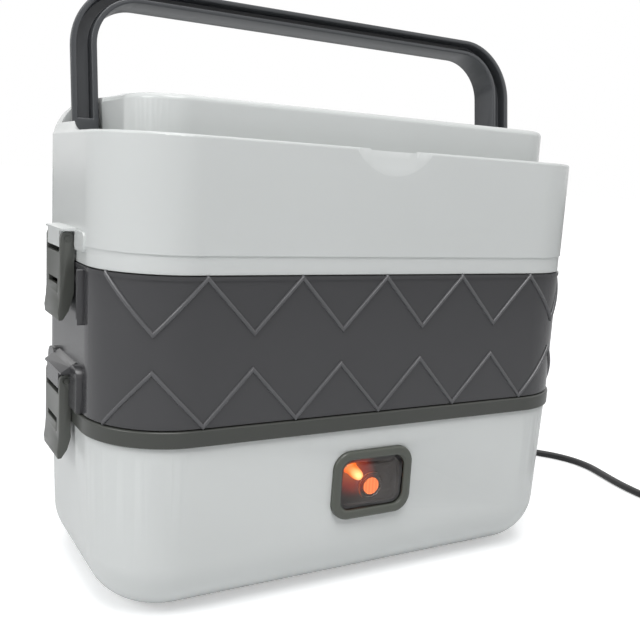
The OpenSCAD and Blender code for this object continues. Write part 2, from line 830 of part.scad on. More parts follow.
// Rounded top edge of the raised middle, along its front and sides
module dome_block() {
    low = channel_floor - lid_t;
    translate([0, 0, low]) linear_extrude(lid_top - dome_edge - low) dome2d(0);
    translate([0, 0, low]) linear_extrude(lid_top - low) dome2d(dome_edge);
    edge_z = lid_top - dome_edge;
    for (s = [-1, 1]) {
        translate([s * (dome_x - dome_r), dome_front + dome_r, edge_z]) rotate([0, 0, s > 0 ? -90 : 180])
            rotate_extrude(angle = 90) translate([dome_r - dome_edge, 0]) quarter(dome_edge);
        translate([s * (dome_x - dome_edge), dome_front + dome_r, edge_z]) rotate([-90, 0, 0])
            cylinder(r = dome_edge, h = dome_back - dome_edge - dome_front - dome_r);
    }
    translate([-(dome_x - dome_r), dome_front + dome_edge, edge_z]) rotate([0, 90, 0])
        cylinder(r = dome_edge, h = 2 * (dome_x - dome_r));
}

module quarter(r) {
    intersection() {
        circle(r);
        square(r);
    }
}

// Edge profile of the lid's shoulder
module shoulder_edge(inset) {
    u = lid_out - inset;
    r = shoulder_r - inset;
    top = lid_top - inset;
    polygon([[-corner_r, lid_z], [u, lid_z], [u, top - r], [u - r, top], [-corner_r, top]]);
    intersection() {
        translate([u - r, top - r]) circle(r);
        translate([u - r, top - r]) square(r);
    }
}

// Full-height back of the lid behind a given Y, with rounded shoulders
module lid_back(inset, y) {
    intersection() {
        filled_plan(lid_z, lid_top - inset) shoulder_edge(inset);
        translate([-body_w, y, lid_z]) cube([2 * body_w, body_d, 2 * rim_h]);
    }
}

module channel2d() {
    difference() {
        plan2d(-channel_in);
        dome2d(0);
        translate([-body_w, stop_y]) square([2 * body_w, body_d]);
    }
}

module lid_shell() {
    cavity_top = channel_floor - lid_t;
    color(white) difference() {
        union() {
            difference() {
                union() {
                    slab(-lid_out, skirt_z, rim_z - rim_edge);
                    slab(-lid_out + rim_edge, skirt_z, rim_z);
                    round_plan() translate([lid_out - rim_edge, rim_z - rim_edge]) circle(rim_edge);
                    slab(-skirt_out, lid_z, skirt_z + 1);
                    difference() {
                        lid_back(0, blend_y);
                        translate([-body_w, blend_y, rim_z + blend_r]) rotate([0, 90, 0])
                            cylinder(r = blend_r, h = 2 * body_w);
                        translate([-body_w, blend_y - 1, rim_z + blend_r]) cube([2 * body_w, 1, blend_r]);
                        slab(lid_t + 3, lid_z - 1, skirt_z);
                        difference() {
                            slab(-1, lid_z - 1, skirt_z);
                            slab(-skirt_out, lid_z - 2, skirt_z + 1);
                        }
                    }
                    dome_block();
                }
                translate([0, 0, channel_floor]) linear_extrude(lid_top) channel2d();
            }
            intersection() {
                translate([0, dish_y, dish_z]) sphere(dish_ball + dish_back, $fn = 96);
                translate([-dish_w, -wall_y, channel_floor - 1])
                    cube([2 * dish_w, channel_w, rim_z - channel_floor + 1 - rim_edge / 2]);
            }
            both_ends() {
                latch_boss(upper_pin_z, upper_roof_rise);
                flanks(latch_w / 2 + roof_over - 1, lid_flank_y, upper_pin_z + boss_low - 0.4,
                    upper_pin_z + roof_top + upper_roof_rise - 0.6, lid_flank_out, 2);
            }
        }
        slab(-skirt_in, lid_z - 1, skirt_z);
        slab(-lid_in, skirt_z - 1, cavity_top);
        translate([0, 0, cavity_top - 1]) linear_extrude(lid_top - lid_t - cavity_top + 1) intersection() {
            dome2d(lid_t);
            translate([-body_w, -body_d]) square([2 * body_w, body_d + stop_y + lid_t]);
        }
        intersection() {
            lid_back(lid_t, stop_y + lid_t - 0.01);
            slab(-lid_in, skirt_z, lid_top);
        }
        translate([0, dish_y, dish_z]) sphere(dish_ball, $fn = 96);
        both_ends() {
            translate([dome_x - lid_t - 4, pin_y, pin_z]) rotate([0, 90, 0])
                cylinder(d = handle_pin_d + 2 * pin_gap, h = lid_t + 5);
            latch_bore(upper_pin_z, latch_w + 4);
        }
    }
    color(white) both_ends() handle_boss();
}

// Boss inside the raised middle that carries a handle pin
module handle_boss() {
    translate([dome_x - lid_t - 1.7, pin_y, pin_z]) rotate([0, 90, 0]) difference() {
        cylinder(r = pin_boss_r, h = 1.8);
        translate([0, 0, -1]) cylinder(d = handle_pin_d + 2 * pin_gap, h = 4);
    }
}

module lid_liner() {
    color(white) difference() {
        slab(-liner_u, liner_z, liner_z + liner_t + liner_lip);
        slab(-liner_u + liner_lip_t, liner_z + liner_t, liner_z + liner_t + liner_lip + 1);
    }
}

module lid_gasket() {
    color(silicone) difference() {
        slab(-lid_gasket_out, lid_gasket_low, liner_z);
        slab(-lid_gasket_out + lid_gasket_w, lid_gasket_low - 1, liner_z + 1);
    }
}

// Handle outline in its own plane: half width, top and corner radius, from below the pin
module handle2d(x, top, r, low) {
    translate([-x, low]) square([2 * x, top - r - low]);
    translate([-x + r, low]) square([2 * (x - r), top - low]);
    for (s = [-1, 1]) translate([s * (x - r), top - r]) circle(r);
}

// Handle standing upright about its pin axis, before the lean
module handle_upright() {
    difference() {
        translate([0, strap_d / 2, 0]) rotate([90, 0, 0]) linear_extrude(strap_d) difference() {
            handle2d(leg_out, bar_r + bar_t / 2, handle_r, 0);
            handle2d(leg_in, bar_r - bar_t / 2, handle_in_r, -1);
        }
        translate([0, -strap_d / 2 + groove_d, 0]) rotate([90, 0, 0])
            linear_extrude(groove_d + 1) difference() {
                handle2d(leg_out - leg_rib, bar_r + bar_t / 2 - bar_rib, handle_r - bar_rib, groove_start);
                handle2d(leg_in + leg_rib, bar_r - bar_t / 2 + bar_rib, handle_in_r + bar_rib,
                    groove_start - 1);
            }
        both_ends() handle_bore();
        handle_draft();
    }
    both_ends() difference() {
        translate([leg_in, 0, 0]) rotate([0, 90, 0]) cylinder(r = leg_end_r, h = leg_t);
        handle_bore();
        translate([leg_in - 1, -strap_d, 0]) cube([leg_t + 2, 2 * strap_d, strap_d]);
        handle_draft();
    }
}

// Wedge that narrows the strap from its front to its back: x runs outward from the strap's face, y backward
module draft2d() {
    y0 = draft_start - strap_d / 2;
    y1 = strap_d / 2;
    over = strap_draft / (y1 - y0);
    polygon([[0, y0], [strap_d, y0], [strap_d, y1 + 1], [-strap_draft - over, y1 + 1]]);
}

module handle_draft() {
    top = bar_r + bar_t / 2;
    low = -2 * leg_end_r;
    both_ends() {
        translate([leg_out, 0, low]) linear_extrude(top - handle_r - low) draft2d();
        translate([leg_out - handle_r, 0, top - handle_r]) rotate([90, 0, 0]) mirror([0, 0, 1])
            rotate_extrude(angle = 90) translate([handle_r, 0]) draft2d();
    }
    translate([-(leg_out - handle_r), 0, top]) rotate([0, 90, 0])
        linear_extrude(2 * (leg_out - handle_r)) mirror([1, 0, 0]) draft2d();
}

module handle_bore() {
    translate([leg_in - 1, 0, 0]) rotate([0, 90, 0])
        cylinder(d = handle_pin_d + 2 * pin_gap, h = handle_pin_out - leg_in + 1.3);
}

module handle() {
    color(handle_grey) translate([0, pin_y, pin_z]) rotate([-handle_lean, 0, 0]) handle_upright();
}

module handle_pin(side) {
    color(steel) translate([side * (handle_pin_in + handle_pin_out) / 2, pin_y, pin_z]) rotate([0, 90, 0])
        cylinder(d = handle_pin_d, h = handle_pin_out - handle_pin_in, center = true);
}

// Latch drawn at the right end: two cheeks on the pin, an outer panel with a window, a hook and a flared tip
module latch(z, low_in) {
    tip = -latch_l;
    inner = latch_out - latch_panel;
    front = [[latch_out + latch_flare * 0.6, tip], [latch_out + latch_flare, tip + 3],
        [latch_out + latch_flare * 0.35, tip + 7], [latch_out, tip + 11]];
    color(olive_grey) translate([latch_pin_x, 0, z]) difference() {
        union() {
            for (y = [-latch_w / 2, latch_w / 2 - cheek_t])
                translate([0, y + cheek_t, 0]) rotate([90, 0, 0]) linear_extrude(cheek_t) {
                    intersection() {
                        circle(latch_out);
                        translate([cheek_in, -latch_out]) square(2 * latch_out);
                    }
                    polygon(concat([[cheek_in, 0], [cheek_in, tip + 11.2], [cheek_in + 2.1, tip + 3.6],
                        [inner + latch_flare, tip]], front, [[latch_out, 0]]));
                }
            translate([0, latch_w / 2, 0]) rotate([90, 0, 0]) linear_extrude(latch_w)
                polygon(concat([[inner, panel_top], [inner, tip + 8], [inner + latch_flare, tip]], front,
                    [[latch_out, panel_top]]));
            translate([hook_in, -hook_w / 2, hook_top - hook_t])
                cube([inner - hook_in + 0.5, hook_w, hook_t]);
        }
        translate([inner - 1, -window_w / 2, window_low])
            cube([latch_panel + 2, window_w, window_top - window_low]);
        translate([inner - 1, -window_w / 2, slit_low])
            cube([latch_panel + 2, slit_w, window_low - slit_low + 0.5]);
        translate([0, latch_w, 0]) rotate([90, 0, 0])
            cylinder(d = latch_pin_d + 2 * pin_gap, h = 2 * latch_w);
        if (low_in > cheek_in)
            translate([cheek_in - 1, -latch_w, tip - 1])
                cube([low_in - cheek_in + 1, 2 * latch_w, -tip - cheek_relief + 1]);
    }
}

module latch_pin(side, z) {
    color(steel) translate([side * latch_pin_x, 0, z]) rotate([90, 0, 0])
        cylinder(d = latch_pin_d, h = latch_w, center = true);
}

// Cord connector plugged into the inlet
module cord_connector() {
    color(black) translate([inlet_x, 0, inlet_z]) difference() {
        union() {
            upright_plate(socket_w - 2 * fit, socket_h - 2 * fit, socket_h / 2 - fit - 0.01,
                inlet_front - socket_depth + fit, connector_y);
            upright_plate(connector_w, connector_h, 4, connector_y, connector_y + connector_l);
        }
        for (x = [-pin_pitch / 2, pin_pitch / 2])
            translate([x, inlet_front, 0]) rotate([90, 0, 0])
                cylinder(d = inlet_pin_d + 0.4, h = socket_depth);
    }
}

// Tapered sleeve with grooves, along +Z from its wide end
module relief(l, r0, r1) {
    grooves = 5;
    step = l / (grooves + 1.6);
    rotate_extrude() difference() {
        polygon([[0, 0], [r0, 0], [r1, l], [0, l]]);
        for (k = [0 : grooves - 1])
            translate([r0 + (r1 - r0) * (k + 1) * step / l - 0.7, (k + 1) * step]) square([2, step * 0.4]);
    }
}

module connector_relief() {
    color(black) translate([inlet_x, connector_y + connector_l, inlet_z]) rotate([-90, 0, 0])
        relief(relief_l, 4.4, cord_d / 2 + 0.7);
}

// Smooth curve through a list of points
function spline(p, n) = [for (k = [0 : len(p) - 2])
    let (a = p[max(k - 1, 0)], b = p[k], c = p[k + 1], d = p[min(k + 2, len(p) - 1)])
    for (j = [0 : n - 1])
        let (t = j / n)
        0.5 * (2 * b + (c - a) * t + (2 * a - 5 * b + 4 * c - d) * t * t
            + (3 * b - a - 3 * c + d) * t * t * t),
    p[len(p) - 1]];

function unit(v) = v / norm(v);
function heading(p, k) = unit(p[min(k + 1, len(p) - 1)] - p[max(k - 1, 0)]);

// Tube along a path, with flat ends square to the path's end directions
module tube(path, r, sides, first, last) {
    n = len(path);
    points = [for (k = [0 : n - 1])
        let (t = k == 0 ? first : k == n - 1 ? last : heading(path, k),
            side = unit(cross(t, [0, 0, 1])), up = cross(side, t))
        for (j = [0 : sides - 1])
            path[k] + r * (cos(360 * (j + 0.5) / sides) * side + sin(360 * (j + 0.5) / sides) * up)];
    walls = [for (k = [0 : n - 2], j = [0 : sides - 1])
        let (a = sides * k + j, b = sides * k + (j + 1) % sides)
        each [[a, b + sides, b], [a, a + sides, b + sides]]];
    ends = [for (j = [1 : sides - 2])
        each [[0, j, j + 1], [sides * (n - 1), sides * (n - 1) + j + 1, sides * (n - 1) + j]]];
    polyhedron(points, concat(walls, ends));
}

lead_path = spline(lead_route, 2);

module cord_lead() {
    color(black) tube(lead_path, cord_d / 2, 8, [0, 1, 0], [1, 0, 0]);
}

// Coil: lower layer winds in, climbs in the half turn where the spiral turns back, upper layer winds out
coil_inner = coil_r - coil_pitch * coil_turns / 2;
function coil_radius(t) = coil_inner + coil_pitch * abs(t - coil_turns / 2);
function coil_height(t) = coil_low + coil_pitch * min(1, max(0, 2 * (t - coil_turns / 2) + 0.5));
coil_round = [for (k = [1 : coil_turns * coil_rings - 1])
    let (t = k / coil_rings, a = -90 + 360 * t)
    [coil_x + coil_radius(t) * cos(a), coil_y + coil_radius(t) * sin(a), coil_height(t)]];
coil_start = [coil_x, coil_y - coil_r, coil_low];
coil_end = [coil_x, coil_y - coil_r, tail_z];
coil_path = concat([coil_start, coil_start + [cord_d, 0, 0]],
    [for (k = [1 : len(coil_round) - 2]) coil_round[k]], [coil_end - [cord_d, 0, 0], coil_end]);
coil_clear = min([for (i = [0 : 2 : len(coil_path) - 1], j = [i + coil_rings / 2 : len(coil_path) - 1])
    norm(coil_path[i] - coil_path[j])]) - cord_d;
echo(coil_gap_to_itself = coil_clear);

module cord_coil() {
    color(black) tube(coil_path, cord_d / 2, coil_sides, [1, 0, 0], [1, 0, 0]);
}

// Tie round all turns of the coil, on the side away from the lead
module cord_tie() {
    w = 7;
    top = coil_lift + cord_d + coil_pitch + fit;
    inner = coil_r - coil_pitch * coil_turns / 2 - cord_d / 2 + 0.1;
    outer = coil_r + cord_d / 2 + 1.1;
    color(black) translate([coil_x, coil_y + inner, 0]) difference() {
        translate([-w / 2, -tie_t, 0]) cube([w, outer - inner + 2 * tie_t, top + tie_t]);
        translate([-w, 0, tie_t]) cube([2 * w, outer - inner, top - tie_t]);
    }
}

module cord_tail() {
    color(black) tube([coil_end, coil_end + [tail_l / 2, 0, 0], coil_end + [tail_l, 0, 0]], cord_d / 2, 8,
        [1, 0, 0], [1, 0, 0]);
}

plug_start = coil_end + [tail_l + plug_relief_l, 0, 0];

module plug_relief() {
    color(black) translate(plug_start) rotate([0, -90, 0]) relief(plug_relief_l, 5, cord_d / 2 + 0.7);
}

module mains_plug() {
    color(black) translate(plug_start + [plug_l / 2, 0, -plug_h / 2]) difference() {
        linear_extrude(plug_h) round_rect(plug_l, plug_w, 7);
        for (y = [-plug_pin_pitch / 2, plug_pin_pitch / 2])
            translate([0, y, plug_h / 2]) rotate([0, 90, 0])
                cylinder(d = plug_pin_d + 2 * pin_gap, h = plug_l);
    }
}

module plug_pins() {
    color(steel) for (y = [-plug_pin_pitch / 2, plug_pin_pitch / 2])
        translate([plug_start[0] + plug_l / 2 + 2, plug_start[1] + y, plug_start[2]]) rotate([0, 90, 0]) {
            cylinder(d = plug_pin_d, h = plug_l / 2 - 2 + plug_pin_l - plug_pin_d / 2);
            translate([0, 0, plug_l / 2 - 2 + plug_pin_l - plug_pin_d / 2]) sphere(d = plug_pin_d);
        }
}

base_shell();
bottom_cover();
cover_screws();
feet();
base_collar();
heating_tray();
heater_block();
heater_bracket();
bracket_screws();
thermostat();
thermal_fuse();
wiring();
indicator_bezel();
indicator_lens();
lamp_holder();
indicator_lamp();
power_inlet();
inlet_pins();
lower_bowl();
tier_shell();
tier_gasket();
latch_pin(-1, lower_pin_z);  // lower_latch_pin_left
latch_pin(1, lower_pin_z);  // lower_latch_pin_right
upper_bowl();
lid_shell();
lid_liner();
lid_gasket();
handle_pin(-1);  // handle_pin_left
handle_pin(1);  // handle_pin_right
latch_pin(-1, upper_pin_z);  // upper_latch_pin_left
latch_pin(1, upper_pin_z);  // upper_latch_pin_right
handle();
mirror([1, 0, 0]) latch(upper_pin_z, cheek_in);  // upper_latch_left
latch(upper_pin_z, cheek_in);  // upper_latch_right
mirror([1, 0, 0]) latch(lower_pin_z, collar_relief_in);  // lower_latch_left
latch(lower_pin_z, collar_relief_in);  // lower_latch_right
cord_connector();
connector_relief();
cord_lead();
cord_coil();
cord_tie();
cord_tail();
plug_relief();
mains_plug();
plug_pins();
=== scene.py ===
"""Looks of the electric lunch box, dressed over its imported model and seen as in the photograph."""

import logging
import math
from dataclasses import dataclass, field
from enum import Enum

import bmesh
import bpy
from mathutils import Matrix, Vector


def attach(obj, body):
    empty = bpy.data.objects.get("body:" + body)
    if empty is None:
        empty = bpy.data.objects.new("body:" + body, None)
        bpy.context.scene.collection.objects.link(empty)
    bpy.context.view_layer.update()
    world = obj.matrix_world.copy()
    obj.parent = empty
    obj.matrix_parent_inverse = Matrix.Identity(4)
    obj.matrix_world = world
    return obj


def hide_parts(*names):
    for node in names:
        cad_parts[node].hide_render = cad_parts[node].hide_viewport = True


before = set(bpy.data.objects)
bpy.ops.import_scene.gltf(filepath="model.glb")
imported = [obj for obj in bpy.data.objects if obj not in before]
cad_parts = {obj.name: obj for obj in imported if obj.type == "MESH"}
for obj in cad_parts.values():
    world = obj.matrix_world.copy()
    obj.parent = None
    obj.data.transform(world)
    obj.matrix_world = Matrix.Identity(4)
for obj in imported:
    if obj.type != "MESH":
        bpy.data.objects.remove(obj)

LOG = logging.getLogger("lunch_box")
MM = 0.001
WHITE = "#ffffff"

# A Mix node in its colour form takes its two colours at these sockets and gives the result at the last.
MIX_FIRST = 6
MIX_SECOND = 7
MIX_COLOUR = 2

# A wave texture of scale 1 repeats after this many metres.
WAVE_M = math.pi / 10

# A length under the first value counts as none. Points closer than the second are one point, faces
# that turn less than the third are one face, and edges that turn more than the last get a round.
NONE_MM = 1e-6
WELD_MM = 0.002
FLAT = math.radians(0.6)
SHARP = math.radians(38)

# A wall is upright while its direction rises less than the first value. It is left alone if its level
# part is under the second, and follows the plan while it turns less than 14 degrees from it.
UPRIGHT = 0.01
FLAT_SHARE = 0.05
ALONG_PLAN = math.cos(math.radians(14))


class Body(Enum):
    """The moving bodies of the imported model, apart from the latches, which go by their own names."""

    BASE = "base"
    TIER = "tier"
    LID = "lid"
    HANDLE = "handle"


class Side(Enum):
    """The two ends of the box."""

    LEFT = "left"
    RIGHT = "right"


class Row(Enum):
    """The two rows of latches."""

    UPPER = "upper"
    LOWER = "lower"


@dataclass(frozen=True)
class Plan:
    """The body's outline seen from above: a rectangle with round corners, in millimetres."""

    width: float = 235.0
    depth: float = 118.0
    corner: float = 33.4

    @property
    def corner_x(self) -> float:
        """Half the distance between the corner arcs' middles along the front."""
        return self.width / 2 - self.corner

    @property
    def corner_y(self) -> float:
        """Half the distance between the corner arcs' middles along the ends."""
        return self.depth / 2 - self.corner

    def outward(self, x: float, y: float) -> tuple[Vector, float]:
        """Finds the wall's direction near a point.

        Args:
            x: The point's place along the front.
            y: The point's place from front to back.

        Returns:
            The outward direction in the plan, and how far the point lies outside the outline.
        """
        away = Vector((x - min(max(x, -self.corner_x), self.corner_x),
                       y - min(max(y, -self.corner_y), self.corner_y)))
        if away.length < NONE_MM:
            return Vector((0.0, 0.0)), -self.corner
        return away.normalized(), away.length - self.corner

    def on_wall(self, along: float, height: float) -> tuple[float, float]:
        """Finds a point on the front wall and round its corners.

        Args:
            along: Distance along the wall from the middle of the front.
            height: How far the point stands off the wall.

        Returns:
            The point's x and y.
        """
        if abs(along) <= self.corner_x:
            return along, -self.depth / 2 - height
        side = math.copysign(1.0, along)
        turn = (abs(along) - self.corner_x) / self.corner
        reach = self.corner + height
        return side * (self.corner_x + reach * math.sin(turn)), -self.corner_y - reach * math.cos(turn)


PLAN = Plan()


def linear(code: str) -> tuple[float, float, float, float]:
    """Turns an sRGB hex colour into Blender's linear colour, by the sRGB standard's curve.

    Args:
        code: The colour as "#rrggbb".

    Returns:
        Red, green, blue and an alpha of 1.
    """
    parts = [int(code[k:k + 2], 16) / 255 for k in (1, 3, 5)]
    return tuple(p / 12.92 if p <= 0.04045 else ((p + 0.055) / 1.055) ** 2.4 for p in parts) + (1.0,)


def add_node(
    tree: bpy.types.NodeTree, kind: str, inputs: dict[str | int, object] | None = None, **settings: object
) -> bpy.types.Node:
    """Adds one node to a tree, with its settings, values and links.

    Args:
        tree: The node tree that gets the node.
        kind: The node's type name.
        inputs: Values or output sockets by input name or number.
        **settings: Properties of the node itself.

    Returns:
        The new node.
    """
    node = tree.nodes.new(kind)
    for key, value in settings.items():
        setattr(node, key, value)
    for key, value in (inputs or {}).items():
        if isinstance(value, bpy.types.NodeSocket):
            tree.links.new(value, node.inputs[key])
        else:
            node.inputs[key].default_value = value
    return node


def new_material(name: str) -> tuple[bpy.types.Material, bpy.types.NodeTree]:
    """Makes an empty node material.

    Args:
        name: The material's name.

    Returns:
        The material and its node tree, with nothing in it.
    """
    material = bpy.data.materials.new(name)
    material.use_nodes = True
    material.node_tree.nodes.clear()
    return material, material.node_tree


def finish_surface(tree: bpy.types.NodeTree, shader: bpy.types.Node) -> None:
    """Joins a shader to the material's output.

    Args:
        tree: The material's node tree.
        shader: The node whose first output is the surface.
    """
    add_node(tree, "ShaderNodeOutputMaterial", {"Surface": shader.outputs[0]})


@dataclass(frozen=True)
class MouldedPlastic:
    """Injection-moulded plastic. It shows an even colour, a soft gloss and the tool's faint orange peel."""

    name: str
    colour: str
    shade: str
    roughness: float
    ior: float = 1.5
    cloud_mm: float = 45.0
    cloud_detail: float = 2.0
    haze: float = 0.06
    peel_mm: float = 3.0
    peel_detail: float = 1.0
    peel_deep_mm: float = 0.2
    peel: float = 0.02

    def build(self) -> bpy.types.Material:
        """Builds the node material.

        Returns:
            The plastic's material.
        """
        material, tree = new_material(self.name)
        place = add_node(tree, "ShaderNodeTexCoord").outputs["Object"]
        cloud = add_node(
            tree, "ShaderNodeTexNoise",
            {"Vector": place, "Scale": 1 / (self.cloud_mm * MM), "Detail": self.cloud_detail},
        )
        peel = add_node(
            tree, "ShaderNodeTexNoise",
            {"Vector": place, "Scale": 1 / (self.peel_mm * MM), "Detail": self.peel_detail},
        )
        colour = add_node(
            tree, "ShaderNodeMix",
            {"Factor": cloud.outputs[0], MIX_FIRST: linear(self.colour), MIX_SECOND: linear(self.shade)},
            data_type="RGBA",
        )
        gloss = add_node(
            tree, "ShaderNodeMapRange",
            {"Value": cloud.outputs[0], "To Min": self.roughness - self.haze / 2,
             "To Max": self.roughness + self.haze / 2},
        )
        bump = add_node(
            tree, "ShaderNodeBump",
            {"Height": peel.outputs[0], "Strength": self.peel, "Distance": self.peel_deep_mm * MM},
        )
        shader = add_node(
            tree, "ShaderNodeBsdfPrincipled",
            {"Base Color": colour.outputs[MIX_COLOUR], "Roughness": gloss.outputs[0], "IOR": self.ior,
             "Normal": bump.outputs[0]},
        )
        finish_surface(tree, shader)
        return material


@dataclass(frozen=True)
class BrushedMetal:
    """Sheet metal with a fine line grain, which draws the highlights out across the brushing.

    Real brushing is finer than a tenth of a millimetre. It is drawn coarser here, so that it shows.
    """

    name: str
    colour: str
    roughness: float
    grain_mm: float = 0.4
    grain_detail: float = 2.0
    grain: float = 0.05
    along: float = 0.04
    scratch: float = 0.03
    scratch_deep_mm: float = 0.1

    def build(self) -> bpy.types.Material:
        """Builds the node material.

        Returns:
            The metal's material.
        """
        material, tree = new_material(self.name)
        place = add_node(tree, "ShaderNodeTexCoord").outputs["Object"]
        stretch = add_node(
            tree, "ShaderNodeMapping", {"Vector": place, "Scale": (self.along, 1.0, 1.0)},
            vector_type="POINT",
        )
        lines = add_node(
            tree, "ShaderNodeTexNoise",
            {"Vector": stretch.outputs[0], "Scale": 1 / (self.grain_mm * MM), "Detail": self.grain_detail},
        )
        gloss = add_node(
            tree, "ShaderNodeMapRange",
            {"Value": lines.outputs[0], "To Min": self.roughness - self.grain,
             "To Max": self.roughness + self.grain},
        )
        bump = add_node(
            tree, "ShaderNodeBump",
            {"Height": lines.outputs[0], "Strength": self.scratch, "Distance": self.scratch_deep_mm * MM},
        )
        shader = add_node(
            tree, "ShaderNodeBsdfPrincipled",
            {"Base Color": linear(self.colour), "Metallic": 1.0, "Roughness": gloss.outputs[0],
             "Normal": bump.outputs[0]},
        )
        finish_surface(tree, shader)
        return material


@dataclass(frozen=True)
class SoftRubber:
    """Silicone, rubber or soft PVC. It looks dull, with a fine grain and a faint sheen at grazing angles.

    The real grain is finer than 0.2 mm. It is drawn coarser here, so that it shows.
    """

    name: str
    colour: str
    shade: str
    roughness: float
    ior: float = 1.5
    sheen: float = 0.1
    grain_mm: float = 0.8
    grain_detail: float = 3.0
    grain_deep_mm: float = 0.1
    grain: float = 0.12

    def build(self) -> bpy.types.Material:
        """Builds the node material.

        Returns:
            The rubber's material.
        """
        material, tree = new_material(self.name)
        place = add_node(tree, "ShaderNodeTexCoord").outputs["Object"]
        grain = add_node(
            tree, "ShaderNodeTexNoise",
            {"Vector": place, "Scale": 1 / (self.grain_mm * MM), "Detail": self.grain_detail},
        )
        colour = add_node(
            tree, "ShaderNodeMix",
            {"Factor": grain.outputs[0], MIX_FIRST: linear(self.colour), MIX_SECOND: linear(self.shade)},
            data_type="RGBA",
        )
        bump = add_node(
            tree, "ShaderNodeBump",
            {"Height": grain.outputs[0], "Strength": self.grain, "Distance": self.grain_deep_mm * MM},
        )
        shader = add_node(
            tree, "ShaderNodeBsdfPrincipled",
            {"Base Color": colour.outputs[MIX_COLOUR], "Roughness": self.roughness, "IOR": self.ior,
             "Sheen Weight": self.sheen, "Normal": bump.outputs[0]},
        )
        finish_surface(tree, shader)
        return material


@dataclass(frozen=True)
class SmokedPane:
    """Clear smoked polycarbonate, polished in the mould. It tints what lies behind and mirrors the lamps."""

    name: str
    tint: str
    roughness: float = 0.03
    ior: float = 1.585

    def build(self) -> bpy.types.Material:
        """Builds the node material.

        Returns:
            The pane's material.
        """
        material, tree = new_material(self.name)
        shader = add_node(
            tree, "ShaderNodeBsdfPrincipled",
            {"Base Color": linear(self.tint), "Roughness": self.roughness, "IOR": self.ior,
             "Transmission Weight": 1.0},
        )
        finish_surface(tree, shader)
        return material


@dataclass(frozen=True)
class NeonGlow:
    """What a lit neon lamp shows: pale yellow at its middle, then orange and red, fading with distance. On a
    wall near the lamp the same fade is a painted glow that stands for the lamp's light.
    """

    name: str
    core: str
    rim: str
    strength: float
    middle_mm: tuple[float, float, float]
    core_mm: float
    reach_mm: float
    ground: str = "#000000"
    roughness: float = 0.5
    ior: float = 1.5

    def build(self) -> bpy.types.Material:
        """Builds the node material.

        Returns:
            The material of the lamp, or of a wall with the lamp's light painted on it as a glow.
        """
        material, tree = new_material(self.name)
        place = add_node(tree, "ShaderNodeTexCoord").outputs["Object"]
        middle = tuple(v * MM for v in self.middle_mm)
        away = add_node(tree, "ShaderNodeVectorMath", {0: place, 1: middle}, operation="DISTANCE")
        near = add_node(
            tree, "ShaderNodeMapRange", {"Value": away.outputs["Value"], "From Max": self.core_mm * MM}
        )
        far = add_node(
            tree, "ShaderNodeMapRange",
            {"Value": away.outputs["Value"], "From Min": self.core_mm * MM, "From Max": self.reach_mm * MM,
             "To Min": self.strength, "To Max": 0.0},
            interpolation_type="SMOOTHSTEP",
        )
        colour = add_node(
            tree, "ShaderNodeMix",
            {"Factor": near.outputs[0], MIX_FIRST: linear(self.core), MIX_SECOND: linear(self.rim)},
            data_type="RGBA",
        )
        shader = add_node(
            tree, "ShaderNodeBsdfPrincipled",
            {"Base Color": linear(self.ground), "Roughness": self.roughness, "IOR": self.ior,
             "Emission Color": colour.outputs[MIX_COLOUR], "Emission Strength": far.outputs[0]},
        )
        finish_surface(tree, shader)
        return material


@dataclass(frozen=True)
class PaintedGlowDisc:
    """A milky disc whose orange glow is painted light standing for the lamp behind it, with the darker lines
    of its moulded ridges.

    The ridges are drawn a little farther apart than the real ones, so that they show.
    """

    name: str
    colour: str
    strength: float
    roughness: float = 0.4
    ior: float = 1.5
    ridge_mm: float = 1.7
    waver: float = 0.8
    dark_share: float = 0.3

    def build(self) -> bpy.types.Material:
        """Builds the node material.

        Returns:
            The disc's material.
        """
        material, tree = new_material(self.name)
        place = add_node(tree, "ShaderNodeTexCoord").outputs["Object"]
        ridges = add_node(
            tree, "ShaderNodeTexWave",
            {"Vector": place, "Scale": WAVE_M / (self.ridge_mm * MM), "Distortion": self.waver},
            bands_direction="X",
        )
        light = add_node(
            tree, "ShaderNodeMapRange",
            {"Value": ridges.outputs[1], "To Min": self.strength * self.dark_share, "To Max": self.strength},
        )
        shader = add_node(
            tree, "ShaderNodeBsdfPrincipled",
            {"Base Color": linear(self.colour), "Roughness": self.roughness, "IOR": self.ior,
             "Emission Color": linear(self.colour), "Emission Strength": light.outputs[0]},
        )
        finish_surface(tree, shader)
        return material


